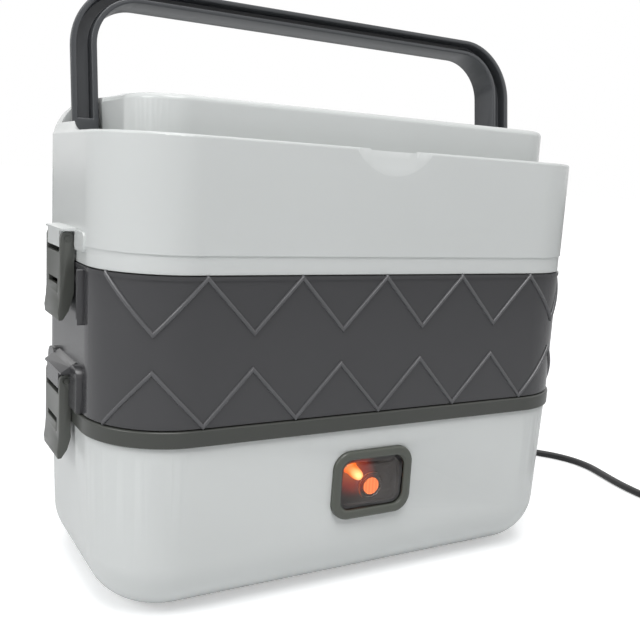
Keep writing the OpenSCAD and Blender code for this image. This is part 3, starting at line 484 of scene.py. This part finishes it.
class Finish(Enum):
    """Every finish on the lunch box, by the material that the real one is made of."""

    # Moulded in a polished tool: a clean white with broad, soft highlights.
    WHITE_ABS = MouldedPlastic("glossy white ABS", "#dbdedd", "#d7dad9", 0.24)
    # The same moulding in dark grey, on which the gloss shows as pale streaks.
    GREY_ABS = MouldedPlastic("glossy dark grey ABS", "#414143", "#3e3e40", 0.22)
    # The crests are smoother than the wall, which sharpens the thin bright line on each rib. The ribs' paler
    # colour is a painted highlight.
    RIB_ABS_PAINTED_HIGHLIGHT = MouldedPlastic("dark grey ABS polished at the rib crests", "#59595c", "#565658", 0.16)
    # Moulded in a lightly etched tool: the collar looks dull beside the housing.
    OLIVE_PP = MouldedPlastic("satin olive grey polypropylene", "#424440", "#3e403c", 0.34)
    # Moulded in a polished tool: the window's frame mirrors the lamps along its rounds. Its colour is paler
    # than the collar's as a painted highlight.
    BEZEL_PP_PAINTED_HIGHLIGHT = MouldedPlastic("glossy olive grey polypropylene", "#555851", "#51544d", 0.24)
    # A satin moulding, greyer and paler than the collar.
    LATCH_PP = MouldedPlastic("satin grey latch polypropylene", "#575955", "#535551", 0.34)
    # A cooler satin grey, with a soft highlight along the strap.
    HANDLE_PP = MouldedPlastic("satin grey handle polypropylene", "#45474a", "#414346", 0.32)
    # A glass-filled moulding: nearly black and dull.
    BLACK_NYLON = MouldedPlastic("black nylon", "#1b1b1d", "#171719", 0.4)
    # Drawn and brushed sheet: its highlights are drawn out across the brushing.
    STEEL = BrushedMetal("brushed stainless steel", "#c9c9c7", 0.28)
    # Spun sheet, duller and a little bluer than the steel.
    ALUMINIUM = BrushedMetal("spun aluminium", "#c7c8ca", 0.35)
    # A plated surface: pale grey with a blurred shine.
    ZINC = BrushedMetal("zinc-plated steel", "#b9bab8", 0.32)
    # Turned pins with a warm yellow shine.
    BRASS = BrushedMetal("turned brass", "#c8a35a", 0.25)
    # Moulded silicone: a milky, warm grey with little shine.
    SILICONE = SoftRubber("translucent silicone", "#cdc9be", "#c6c2b7", 0.45)
    # Silicone drawn over the wire: an even, dull red.
    LEAD = SoftRubber("red silicone lead", "#a04028", "#963a24", 0.5)
    # Moulded rubber: nearly black, with hardly any shine.
    RUBBER = SoftRubber("black rubber", "#1e1e1f", "#191919", 0.6)
    # The cord's smooth drawn sheath: black, with a thin highlight along it.
    PVC = SoftRubber("black PVC cord", "#1a1a1b", "#151516", 0.42)
    # Polished in the mould: it darkens what lies behind and mirrors the lamps.
    PANE = SmokedPane("smoked polycarbonate", "#b4aca6")
    # Glowing gas in glass: pale yellow at the middle, orange farther out.
    LAMP = NeonGlow("lit neon lamp", "#fff0a0", "#ff6a14", 4.0, (-5.8, -56.0, 52.3), 2.8, 6.5)
    # The moulded walls round the lamp have its light painted on as a glow, which fades to their own grey.
    LAMP_HOUSING_PAINTED_GLOW = NeonGlow(
        "dark lamp housing lit by the lamp", "#ff9030", "#b82408", 0.9, (-6.0, -54.5, 52.3), 5.0, 11.0,
        "#4f4843",
    )
    # A milky moulding with the lamp's light behind it painted on as an orange glow, with darker ridges.
    DISC_PAINTED_GLOW = PaintedGlowDisc("milky disc with painted orange glow", "#ec7c48", 0.85)


class Palette:
    """Builds each finish's material once and hands it out."""

    def __init__(self) -> None:
        """Starts with nothing built."""
        self._made: dict[Finish, bpy.types.Material] = {}

    def get(self, finish: Finish) -> bpy.types.Material:
        """Gives the material of a finish.

        Args:
            finish: The finish that is wanted.

        Returns:
            Its material, built at its first use.
        """
        if finish not in self._made:
            self._made[finish] = finish.value.build()
        return self._made[finish]


def link(name: str, data: bpy.types.ID) -> bpy.types.Object:
    """Puts new data into the scene.

    Args:
        name: The object's name.
        data: Its mesh, curve, camera or lamp.

    Returns:
        The linked object.
    """
    piece = bpy.data.objects.new(name, data)
    bpy.context.scene.collection.objects.link(piece)
    return piece


def true_to_plan(mesh: bpy.types.Mesh, depth_mm: float) -> None:
    """Sets the shading of walls that follow the plan square to it, so that round corners look round.

    Args:
        mesh: The mesh whose shading is set.
        depth_mm: How far inside the plan's outline its walls are still taken to follow it.
    """
    normals = [Vector(corner.vector) for corner in mesh.corner_normals]
    for face in mesh.polygons:
        upright = abs(face.normal.z) < UPRIGHT
        for k in face.loop_indices:
            place = mesh.vertices[mesh.loops[k].vertex_index].co / MM
            outward, offset = PLAN.outward(place.x, place.y)
            facing = face.normal if upright else normals[k]
            flat = facing.xy.length
            if flat < FLAT_SHARE or offset < -depth_mm:
                continue
            agreement = facing.xy.dot(outward) / flat
            if abs(agreement) > ALONG_PLAN:
                level = outward * math.copysign(flat, agreement)
                normals[k] = Vector((level.x, level.y, facing.z))
    mesh.normals_split_custom_set([tuple(n) for n in normals])


def soften(
    node: str, body: str, material: bpy.types.Material, edge_mm: float, segments: int = 2,
    beyond_x_mm: float = 0.0, plan_depth_mm: float = 0.0,
) -> bpy.types.Object:
    """Makes the shown piece of a CAD node, with the small edge rounds that the real moulding has.

    Args:
        node: The CAD node that the piece stands for.
        body: The body that it moves with.
        material: The piece's finish.
        edge_mm: Radius of the edge rounds in millimetres.
        segments: Faces across each round.
        beyond_x_mm: Only edges farther than this from the middle get their rounds.
        plan_depth_mm: How far inside the plan's outline the walls follow it; 0 for pieces of other shapes.

    Returns:
        The new piece.
    """
    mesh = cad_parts[node].data.copy()
    work = bmesh.new()
    work.from_mesh(mesh)
    bmesh.ops.remove_doubles(work, verts=work.verts, dist=WELD_MM * MM)
    bmesh.ops.dissolve_limit(work, angle_limit=FLAT, verts=work.verts, edges=work.edges)
    weights = work.edges.layers.float.new("bevel_weight_edge")
    for edge in work.edges:
        turned = edge.is_manifold and edge.calc_face_angle(0.0) > SHARP
        edge.smooth = not turned
        if turned and all(abs(v.co.x) >= beyond_x_mm * MM for v in edge.verts):
            edge[weights] = 1.0
            edge.smooth = True
    for face in work.faces:
        face.smooth = True
    work.to_mesh(mesh)
    work.free()
    mesh.materials.clear()
    mesh.materials.append(material)
    piece = link(node + "_shown", mesh)
    rounds = piece.modifiers.new("edge rounds", "BEVEL")
    rounds.width = edge_mm * MM
    rounds.segments = segments
    rounds.limit_method = "WEIGHT"
    rounds.harden_normals = True
    rounds.use_clamp_overlap = True
    bpy.context.view_layer.update()
    view = piece.evaluated_get(bpy.context.evaluated_depsgraph_get())
    rounded = bpy.data.meshes.new_from_object(view)
    piece.modifiers.clear()
    piece.data = rounded
    if plan_depth_mm > 0:
        true_to_plan(rounded, plan_depth_mm)
    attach(piece, body)
    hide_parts(node)
    LOG.info("moulding %s with %d faces", node, len(rounded.polygons))
    return piece


def dress(node: str, material: bpy.types.Material) -> None:
    """Gives a CAD node that stays as it is a finish.

    Args:
        node: The CAD node.
        material: Its finish.
    """
    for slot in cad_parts[node].material_slots:
        slot.material = material
    LOG.info("finish %s on %s", material.name, node)


@dataclass
class PhotoCamera:
    """The photograph's camera: where it stood, where it looked and how wide it saw."""

    place_mm: tuple[float, float, float] = (-200.4, -350.05, 179.37)
    heading_deg: float = 30.164
    down_deg: float = 9.616
    roll_deg: float = 3.407
    focal_px: float = 846.14
    picture_px: int = 640
    sensor_mm: float = 36.0
    nearest_m: float = 0.01

    def build(self) -> bpy.types.Object:
        """Places the camera.

        Returns:
            The camera object, which is now the scene's camera.
        """
        data = bpy.data.cameras.new("photo_camera")
        data.sensor_width = self.sensor_mm
        data.lens = self.focal_px / self.picture_px * self.sensor_mm
        data.clip_start = self.nearest_m
        camera = link("photo_camera", data)
        turn = Matrix.Rotation(-math.radians(self.heading_deg), 4, "Z")
        tilt = Matrix.Rotation(math.radians(90 - self.down_deg), 4, "X")
        roll = Matrix.Rotation(math.radians(self.roll_deg), 4, "Z")
        camera.matrix_world = Matrix.Translation([v * MM for v in self.place_mm]) @ turn @ tilt @ roll
        bpy.context.scene.camera = camera
        LOG.info("camera with a lens of %.1f mm", data.lens)
        return camera


@dataclass(frozen=True)
class Softbox:
    """One square soft lamp: where it hangs, its side in metres and its power in watts."""

    name: str
    place_m: tuple[float, float, float]
    side_m: float
    watts: float

    def build(self, aim_m: tuple[float, float, float]) -> None:
        """Hangs the lamp.

        Args:
            aim_m: The point that it faces, in metres.
        """
        data = bpy.data.lights.new(self.name, "AREA")
        data.shape = "SQUARE"
        data.size = self.side_m
        data.energy = self.watts
        lamp = link(self.name, data)
        aim = Vector(aim_m) - Vector(self.place_m)
        turn = aim.to_track_quat("-Z", "Y").to_matrix().to_4x4()
        lamp.matrix_world = Matrix.Translation(self.place_m) @ turn
        LOG.info("%s of %.1f W", self.name, self.watts)


@dataclass
class Studio:
    """Plain photographic studio: white surroundings, a white sweep of floor and soft lamps."""

    floor_m: float = 40.0
    floor_colour: str = "#f2f3f4"
    near_lift: float = 0.42
    far_lift: float = 1.0
    sweep_start_m: float = 0.25
    sweep_end_m: float = 1.1
    world_level: float = 0.18
    mirror_level: float = 0.95
    aim_m: tuple[float, float, float] = (0.0, 0.0, 0.1)
    lamps: tuple[Softbox, ...] = (
        Softbox("front softbox", (-0.3, -0.8, 1.6), 0.9, 15.5),
        Softbox("right softbox", (1.2, -0.7, 0.9), 0.9, 1.5),
        Softbox("left softbox", (-1.3, -0.2, 0.9), 0.6, 6.5),
        Softbox("top softbox", (0.0, 0.1, 1.5), 1.1, 4.5),
        Softbox("rear softbox", (0.4, 1.2, 1.1), 0.9, 2.5),
    )

    def build(self) -> None:
        """Builds the floor, the surroundings and the lamps."""
        self._floor()
        self._world()
        for lamp in self.lamps:
            lamp.build(self.aim_m)

    def _floor(self) -> None:
        """Lays the floor, which shows the object's soft shadow and turns to plain white farther out."""
        half = self.floor_m / 2
        mesh = bpy.data.meshes.new("studio_floor")
        corners = [(-half, -half, 0), (half, -half, 0), (half, half, 0), (-half, half, 0)]
        mesh.from_pydata(corners, [], [(0, 1, 2, 3)])
        material, tree = new_material("matt white paper")
        rays = add_node(tree, "ShaderNodeLightPath")
        place = add_node(tree, "ShaderNodeTexCoord").outputs["Object"]
        away = add_node(tree, "ShaderNodeVectorMath", {0: place}, operation="LENGTH")
        lift = add_node(
            tree, "ShaderNodeMapRange",
            {"Value": away.outputs["Value"], "From Min": self.sweep_start_m, "From Max": self.sweep_end_m,
             "To Min": self.near_lift, "To Max": self.far_lift},
            interpolation_type="SMOOTHSTEP",
        )
        shown = add_node(
            tree, "ShaderNodeMath", {0: rays.outputs["Is Camera Ray"], 1: lift.outputs[0]},
            operation="MULTIPLY",
        )
        base = add_node(tree, "ShaderNodeBsdfDiffuse", {"Color": linear(self.floor_colour)})
        glow = add_node(tree, "ShaderNodeEmission", {"Strength": shown.outputs[0]})
        both = add_node(tree, "ShaderNodeAddShader", {0: base.outputs[0], 1: glow.outputs[0]})
        finish_surface(tree, both)
        mesh.materials.append(material)
        link("studio_floor", mesh)
        LOG.info("floor of white paper")

    def _world(self) -> None:
        """Makes the surroundings: an even light, mirrored a little brighter and seen as white."""
        world = bpy.data.worlds.new("white studio")
        bpy.context.scene.world = world
        world.use_nodes = True
        tree = world.node_tree
        tree.nodes.clear()
        rays = add_node(tree, "ShaderNodeLightPath")
        seen = add_node(
            tree, "ShaderNodeMath",
            {0: rays.outputs["Is Camera Ray"], 1: rays.outputs["Is Transmission Ray"]},
            operation="MAXIMUM",
        )
        level = add_node(
            tree, "ShaderNodeMix",
            {"Factor": rays.outputs["Is Glossy Ray"], "A": self.world_level, "B": self.mirror_level},
            data_type="FLOAT",
        )
        light = add_node(
            tree, "ShaderNodeBackground", {"Color": linear(WHITE), "Strength": level.outputs[0]}
        )
        white = add_node(tree, "ShaderNodeBackground", {"Color": linear(WHITE), "Strength": 1.0})
        mix = add_node(
            tree, "ShaderNodeMixShader", {0: seen.outputs[0], 1: light.outputs[0], 2: white.outputs[0]}
        )
        add_node(tree, "ShaderNodeOutputWorld", {"Surface": mix.outputs[0]})


@dataclass
class MainsCord:
    """Thin round mains cord: out of the back, round behind the right side, and put away in a tied coil."""

    diameter_mm: float = 4.2
    length_mm: float = 973.0
    exit_mm: tuple[float, float, float] = (50.0, 101.1, 33.5)
    coil_x_mm: float = 268.0
    coil_y_mm: float = -52.0
    coil_r_mm: float = 27.0
    coil_turns: int = 4
    coil_steps: int = 24
    coil_start_deg: float = -90.0
    join_steps: int = 2
    coil_pitch_mm: float = 4.8
    coil_low_mm: float = 3.2
    climb_turns: float = 0.5
    tail_mm: float = 22.0
    tail_steps: int = 4
    curve_steps: int = 6
    round_steps: int = 6
    route_mm: list[tuple[float, float, float]] = field(default_factory=lambda: [
        (50, 101.1, 33.5), (50, 106, 33.2), (51, 115, 32), (54, 124, 29.5), (60, 133, 26), (68, 140, 22),
        (78, 145, 17.5), (89, 147, 13.5), (100, 147, 10), (111, 145, 7), (122, 141, 4.6), (132, 136, 3),
        (142, 129, 2.2), (152, 121, 2.1), (162, 112, 2.1), (172, 102, 2.1), (182, 91, 2.1), (192, 79, 2.1),
        (202, 67, 2.1), (211, 56, 2.1), (219, 45, 2.1), (224, 33, 2.1), (225, 20, 2.1), (222.5, 7, 2.1),
        (219.5, -6, 2.1), (217.5, -19, 2.1), (217, -32, 2.1), (219.5, -45, 2.2), (225, -56, 2.4),
        (233, -65, 2.7), (243, -72, 3), (255, -76.5, 3.2), (263.8, -79, 3.2), (268, -79, 3.2)])

    def _smooth(self) -> list[Vector]:
        """Draws a smooth curve through the listed route.

        Returns:
            Points along the free lead, in millimetres.
        """
        p = [Vector(v) for v in self.route_mm]
        line = []
        for k in range(len(p) - 1):
            a, b, c, d = p[max(k - 1, 0)], p[k], p[k + 1], p[min(k + 2, len(p) - 1)]
            for j in range(self.curve_steps):
                t = j / self.curve_steps
                line.append(
                    0.5 * (2 * b + (c - a) * t + (2 * a - 5 * b + 4 * c - d) * t ** 2
                           + (3 * b - a - 3 * c + d) * t ** 3)
                )
        return line + [p[-1]]

    def _turns(self) -> list[Vector]:
        """Winds the coil: in on the lower layer, a climb, and out on the upper layer.

        A few steps are left out at both ends, where the lead and the tail join on.

        Returns:
            Points along the coil, in millimetres.
        """
        half = self.coil_turns / 2
        inner = self.coil_r_mm - self.coil_pitch_mm * half
        line = []
        for k in range(self.join_steps, self.coil_turns * self.coil_steps - self.join_steps + 1):
            t = k / self.coil_steps
            a = math.radians(self.coil_start_deg + 360 * t)
            r = inner + self.coil_pitch_mm * abs(t - half)
            rise = min(1.0, max(0.0, (t - half) / self.climb_turns + 0.5))
            line.append(Vector((
                self.coil_x_mm + r * math.cos(a), self.coil_y_mm + r * math.sin(a),
                self.coil_low_mm + self.coil_pitch_mm * rise,
            )))
        return line

    def build(self, material: bpy.types.Material, with_pieces: list[str]) -> bpy.types.Object:
        """Builds the whole cord as one curve.

        Args:
            material: The cord's finish.
            with_pieces: The CAD nodes that go on it. It is not used.

        Returns:
            The cord.
        """
        high = self.coil_low_mm + self.coil_pitch_mm
        end = Vector((self.coil_x_mm, self.coil_y_mm - self.coil_r_mm, high))
        step = Vector((self.diameter_mm, 0, 0))
        lead = self._smooth()
        line = lead + [lead[-1] + step] + self._turns() + [end - step, end]
        for k in range(self.tail_steps):
            line.append(end + Vector((self.tail_mm * (k + 1) / self.tail_steps, 0, 0)))
        data = bpy.data.curves.new("mains_cord", "CURVE")
        data.dimensions = "3D"
        spline = data.splines.new("POLY")
        spline.points.add(len(line) - 1)
        for point, place in zip(spline.points, line):
            point.co = (*(place * MM), 1.0)
        spline.use_smooth = True
        data.bevel_depth = self.diameter_mm / 2 * MM
        data.bevel_resolution = self.round_steps
        data.use_fill_caps = True
        data.materials.append(material)
        cord = link("mains_cord", data)
        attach(cord, Body.BASE.value)
        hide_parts("cord_lead", "cord_coil", "cord_tail")
        LOG.info("mains cord through %d points", len(line))
        return cord


@dataclass
class HeatedBase:
    """White housing with its collar, tray, heater, inlet and underside."""

    palette: Palette
    edge_mm: float = 0.4
    wall_depth_mm: float = 27.0
    collar_edge_mm: float = 0.3
    collar_depth_mm: float = 5.0
    inlet_edge_mm: float = 0.4
    cover_edge_mm: float = 0.2
    foot_edge_mm: float = 0.4

    def build(self) -> None:
        """Makes the housing's shown pieces and finishes what lies inside."""
        body = Body.BASE.value
        give = self.palette.get
        soften(
            "base_shell", body, give(Finish.WHITE_ABS), self.edge_mm, plan_depth_mm=self.wall_depth_mm
        )
        soften(
            "base_collar", body, give(Finish.OLIVE_PP), self.collar_edge_mm,
            plan_depth_mm=self.collar_depth_mm,
        )
        soften("power_inlet", body, give(Finish.BLACK_NYLON), self.inlet_edge_mm)
        soften("bottom_cover", body, give(Finish.WHITE_ABS), self.cover_edge_mm)
        soften("feet", body, give(Finish.RUBBER), self.foot_edge_mm)
        inside = {
            "cover_screws": Finish.ZINC, "heating_tray": Finish.ALUMINIUM, "heater_block": Finish.ALUMINIUM,
            "heater_bracket": Finish.ZINC, "bracket_screws": Finish.ZINC, "thermostat": Finish.BLACK_NYLON,
            "thermal_fuse": Finish.ZINC, "wiring": Finish.LEAD, "inlet_pins": Finish.BRASS,
        }
        for node, finish in inside.items():
            dress(node, give(finish))


@dataclass
class Indicator:
    """Front window: domed bezel, smoked pane with its ring and milky disc, and the neon lamp behind it."""

    palette: Palette
    edge_mm: float = 1.7
    edge_steps: int = 5
    pane_edge_mm: float = 0.15
    disc_mm: float = 7.6
    disc_place_mm: tuple[float, float, float] = (-0.8, -59.35, 48.0)
    disc_thick_mm: float = 0.12
    disc_steps: int = 48
    bezel_w_mm: float = 40.0
    bezel_h_mm: float = 30.4
    bezel_r_mm: float = 8.0
    border_mm: float = 3.9
    crown_mm: float = 0.75
    crown_foot_mm: tuple[float, float] = (-59.5, 49.5)
    corner_steps: int = 10
    band_steps: int = 8

    def build(self) -> None:
        """Makes the window's shown pieces."""
        body = Body.BASE.value
        give = self.palette.get
        # The bezel's paler olive is a painted highlight.
        soften("indicator_bezel", body, give(Finish.BEZEL_PP_PAINTED_HIGHLIGHT), self.edge_mm, segments=self.edge_steps)
        soften("indicator_lens", body, give(Finish.PANE), self.pane_edge_mm)
        # The lamp's light on the holder is a painted glow in its material.
        dress("lamp_holder", give(Finish.LAMP_HOUSING_PAINTED_GLOW))
        dress("indicator_lamp", give(Finish.LAMP))
        self._make_painted_glow_disc()
        self._crown()

    def _make_painted_glow_disc(self) -> None:
        """Makes the milky disc in the middle of the pane's ring, which glows with painted light."""
        work = bmesh.new()
        turn = Matrix.Rotation(math.radians(90), 4, "X")
        place = Matrix.Translation([v * MM for v in self.disc_place_mm])
        bmesh.ops.create_cone(
            work, cap_ends=True, segments=self.disc_steps, radius1=self.disc_mm / 2 * MM,
            radius2=self.disc_mm / 2 * MM, depth=self.disc_thick_mm * MM, matrix=place @ turn,
        )
        mesh = bpy.data.meshes.new("painted_glow_disc")
        work.to_mesh(mesh)
        work.free()
        mesh.materials.append(self.palette.get(Finish.DISC_PAINTED_GLOW))
        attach(link("painted_glow_disc", mesh), Body.BASE.value)
        LOG.info("lit disc in the pane's ring")

    def _crown(self) -> None:
        """Sweeps the bezel's convex front round its border, since the real frame is domed all round."""
        across = self.border_mm / 2
        corner = self.bezel_r_mm - across
        half_w = self.bezel_w_mm / 2 - self.bezel_r_mm
        half_h = self.bezel_h_mm / 2 - self.bezel_r_mm
        front, middle = self.crown_foot_mm
        points = []
        for quarter in range(4):
            mid_x = half_w if quarter in (0, 3) else -half_w
            mid_z = middle + (half_h if quarter in (0, 1) else -half_h)
            for j in range(self.corner_steps + 1):
                turn = math.radians(90 * (quarter + j / self.corner_steps))
                for k in range(self.band_steps + 1):
                    lean = math.pi * k / self.band_steps
                    reach = corner + across * math.cos(lean)
                    points.append((
                        (mid_x + reach * math.cos(turn)) * MM,
                        (front - self.crown_mm * math.sin(lean)) * MM,
                        (mid_z + reach * math.sin(turn)) * MM,
                    ))
        wide = self.band_steps + 1
        rows = len(points) // wide
        faces = [
            (wide * a + k, wide * ((a + 1) % rows) + k, wide * ((a + 1) % rows) + k + 1, wide * a + k + 1)
            for a in range(rows) for k in range(self.band_steps)
        ]
        mesh = bpy.data.meshes.new("bezel_crown")
        mesh.from_pydata(points, [], faces)
        mesh.shade_smooth()
        mesh.materials.append(self.palette.get(Finish.BEZEL_PP_PAINTED_HIGHLIGHT))
        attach(link("bezel_crown", mesh), Body.BASE.value)
        LOG.info("convex front on the bezel")


@dataclass
class MiddleTier:
    """Dark grey tier with its rows of half-round zigzag ribs, its latch bosses and its seal."""

    palette: Palette
    pitch_mm: float = 40.1
    row_mm: float = 21.5
    rib_w_mm: float = 1.75
    rib_h_mm: float = 1.0
    sunk_mm: float = 0.3
    low_mm: float = 82.3
    high_mm: float = 118.1
    periods: int = 3
    corner_steps: int = 10
    round_steps: int = 8
    end_x_mm: float = 117.7
    edge_mm: float = 0.35
    wall_depth_mm: float = 4.0
    seal_edge_mm: float = 0.5
    seal_depth_mm: float = 12.0

    def build(self) -> None:
        """Makes the tier's shown pieces."""
        body = Body.TIER.value
        give = self.palette.get
        soften(
            "tier_shell", body, give(Finish.GREY_ABS), self.edge_mm, beyond_x_mm=self.end_x_mm,
            plan_depth_mm=self.wall_depth_mm,
        )
        soften(
            "tier_gasket", body, give(Finish.SILICONE), self.seal_edge_mm,
            plan_depth_mm=self.seal_depth_mm,
        )
        for side in Side:
            dress(f"lower_latch_pin_{side.value}", give(Finish.LATCH_PP))
        for turn in (0, 180):
            self._rib(self.high_mm, True, turn)
            self._rib(self.low_mm, False, turn)

    def _level(self, along: float, low: float, up: bool) -> float:
        """Finds the zigzag's height at a place along the wall.

        Args:
            along: Distance along the wall.
            low: The row's lowest level.
            up: Whether the row starts with a peak.

        Returns:
            The rib's middle level in millimetres.
        """
        share = abs(along / self.pitch_mm - math.floor(along / self.pitch_mm) - 0.5) * 2
        return low + self.row_mm * (share if up else 1 - share)

    def _rib(self, low: float, up: bool, turn_deg: float) -> None:
        """Sweeps one half-round zigzag rib round the wall.

        Args:
            low: The row's lowest level in millimetres.
            up: Whether the row starts with a peak.
            turn_deg: Turn about the vertical: 0 for the front, 180 for the back.
        """
        half_pitch = self.pitch_mm / 2
        last = 2 * self.periods
        stops = []
        for k in range(-last, last):
            steps = self.corner_steps if max(abs(k), abs(k + 1)) * half_pitch > PLAN.corner_x else 1
            stops += [half_pitch * (k + j / steps) for j in range(steps)]
        stops.append(last * half_pitch)
        half = self.rib_w_mm / 2 * math.hypot(1, self.row_mm / half_pitch)
        profile = [(-half, -self.sunk_mm)]
        for j in range(self.round_steps + 1):
            angle = math.pi * j / self.round_steps
            profile.append((-half * math.cos(angle), self.rib_h_mm * math.sin(angle)))
        profile.append((half, -self.sunk_mm))
        points = []
        for along in stops:
            level = self._level(along, low, up)
            for across, height in profile:
                x, y = PLAN.on_wall(along, height)
                points.append((x * MM, y * MM, (level + across) * MM))
        wide = len(profile)
        faces = [
            (wide * k + j, wide * k + j + 1, wide * (k + 1) + j + 1, wide * (k + 1) + j)
            for k in range(len(stops) - 1) for j in range(wide - 1)
        ]
        mesh = bpy.data.meshes.new("zigzag_rib")
        mesh.from_pydata(points, [], faces)
        mesh.transform(Matrix.Rotation(math.radians(turn_deg), 4, "Z"))
        mesh.shade_smooth()
        mesh.set_sharp_from_angle(angle=SHARP)
        # The ribs are coloured paler than the wall as a painted highlight.
        mesh.materials.append(self.palette.get(Finish.RIB_ABS_PAINTED_HIGHLIGHT))
        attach(link("zigzag_rib", mesh), Body.TIER.value)
        LOG.info("zigzag rib at %.1f mm", low)


@dataclass
class Lid:
    """White lid with its rim, thumb dish, channel and raised middle, its liner and its seal."""

    palette: Palette
    edge_mm: float = 0.35
    wall_depth_mm: float = 3.0
    liner_edge_mm: float = 0.3
    liner_depth_mm: float = 8.0
    seal_edge_mm: float = 0.6
    seal_depth_mm: float = 12.0

    def build(self) -> None:
        """Makes the lid's shown pieces."""
        body = Body.LID.value
        give = self.palette.get
        soften(
            "lid_shell", body, give(Finish.WHITE_ABS), self.edge_mm, plan_depth_mm=self.wall_depth_mm
        )
        soften(
            "lid_liner", body, give(Finish.WHITE_ABS), self.liner_edge_mm,
            plan_depth_mm=self.liner_depth_mm,
        )
        soften(
            "lid_gasket", body, give(Finish.SILICONE), self.seal_edge_mm,
            plan_depth_mm=self.seal_depth_mm,
        )
        for side in Side:
            dress(f"handle_pin_{side.value}", give(Finish.ZINC))
            dress(f"upper_latch_pin_{side.value}", give(Finish.LATCH_PP))


@dataclass
class CarryHandle:
    """Grey U-shaped strap with a deep groove along its front."""

    palette: Palette
    edge_mm: float = 0.8
    edge_steps: int = 3

    def build(self) -> None:
        """Makes the handle's shown piece."""
        finish = self.palette.get(Finish.HANDLE_PP)
        soften("handle", Body.HANDLE.value, finish, self.edge_mm, segments=self.edge_steps)


@dataclass
class SideLatch:
    """One grey latch with its two cheeks, window and finger tip."""

    palette: Palette
    row: Row
    side: Side
    edge_mm: float = 0.55
    edge_steps: int = 3

    def build(self) -> None:
        """Makes the latch's shown piece."""
        name = f"{self.row.value}_latch_{self.side.value}"
        finish = self.palette.get(Finish.LATCH_PP)
        soften(name, name, finish, self.edge_mm, segments=self.edge_steps)


@dataclass
class Bowls:
    """The two drawn stainless steel bowls that hold the food."""

    palette: Palette

    def build(self) -> None:
        """Finishes the bowls."""
        for row in Row:
            dress(f"{row.value}_bowl", self.palette.get(Finish.STEEL))


@dataclass
class CordEnds:
    """What sits on the cord: connector, sleeves, tie and plug."""

    palette: Palette
    connector_edge_mm: float = 0.6
    relief_edge_mm: float = 0.2
    tie_edge_mm: float = 0.3
    plug_edge_mm: float = 1.2
    plug_edge_steps: int = 3

    def build(self) -> list[str]:
        """Makes the shown pieces.

        Returns:
            The names of the pieces that go on the cord's loose part.
        """
        body = Body.BASE.value
        give = self.palette.get
        soften("cord_connector", body, give(Finish.BLACK_NYLON), self.connector_edge_mm)
        soften("connector_relief", body, give(Finish.RUBBER), self.relief_edge_mm)
        loose = [
            soften("cord_tie", body, give(Finish.RUBBER), self.tie_edge_mm),
            soften("plug_relief", body, give(Finish.RUBBER), self.relief_edge_mm),
            soften(
                "mains_plug", body, give(Finish.BLACK_NYLON), self.plug_edge_mm,
                segments=self.plug_edge_steps,
            ),
        ]
        dress("plug_pins", give(Finish.ZINC))
        return [piece.name for piece in loose] + ["plug_pins"]


def main() -> None:
    """Builds the scene in order: camera, lunch box, cord and studio."""
    logging.basicConfig(level=logging.INFO, format="%(message)s")
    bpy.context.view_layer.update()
    PhotoCamera().build()
    palette = Palette()
    HeatedBase(palette).build()
    Indicator(palette).build()
    MiddleTier(palette).build()
    Lid(palette).build()
    CarryHandle(palette).build()
    for row in Row:
        for side in Side:
            SideLatch(palette, row, side).build()
    Bowls(palette).build()
    on_cord = CordEnds(palette).build()
    MainsCord().build(palette.get(Finish.PVC), on_cord)
    Studio().build()
    bpy.context.scene.view_settings.view_transform = "Standard"


if __name__ == "__main__":
    main()
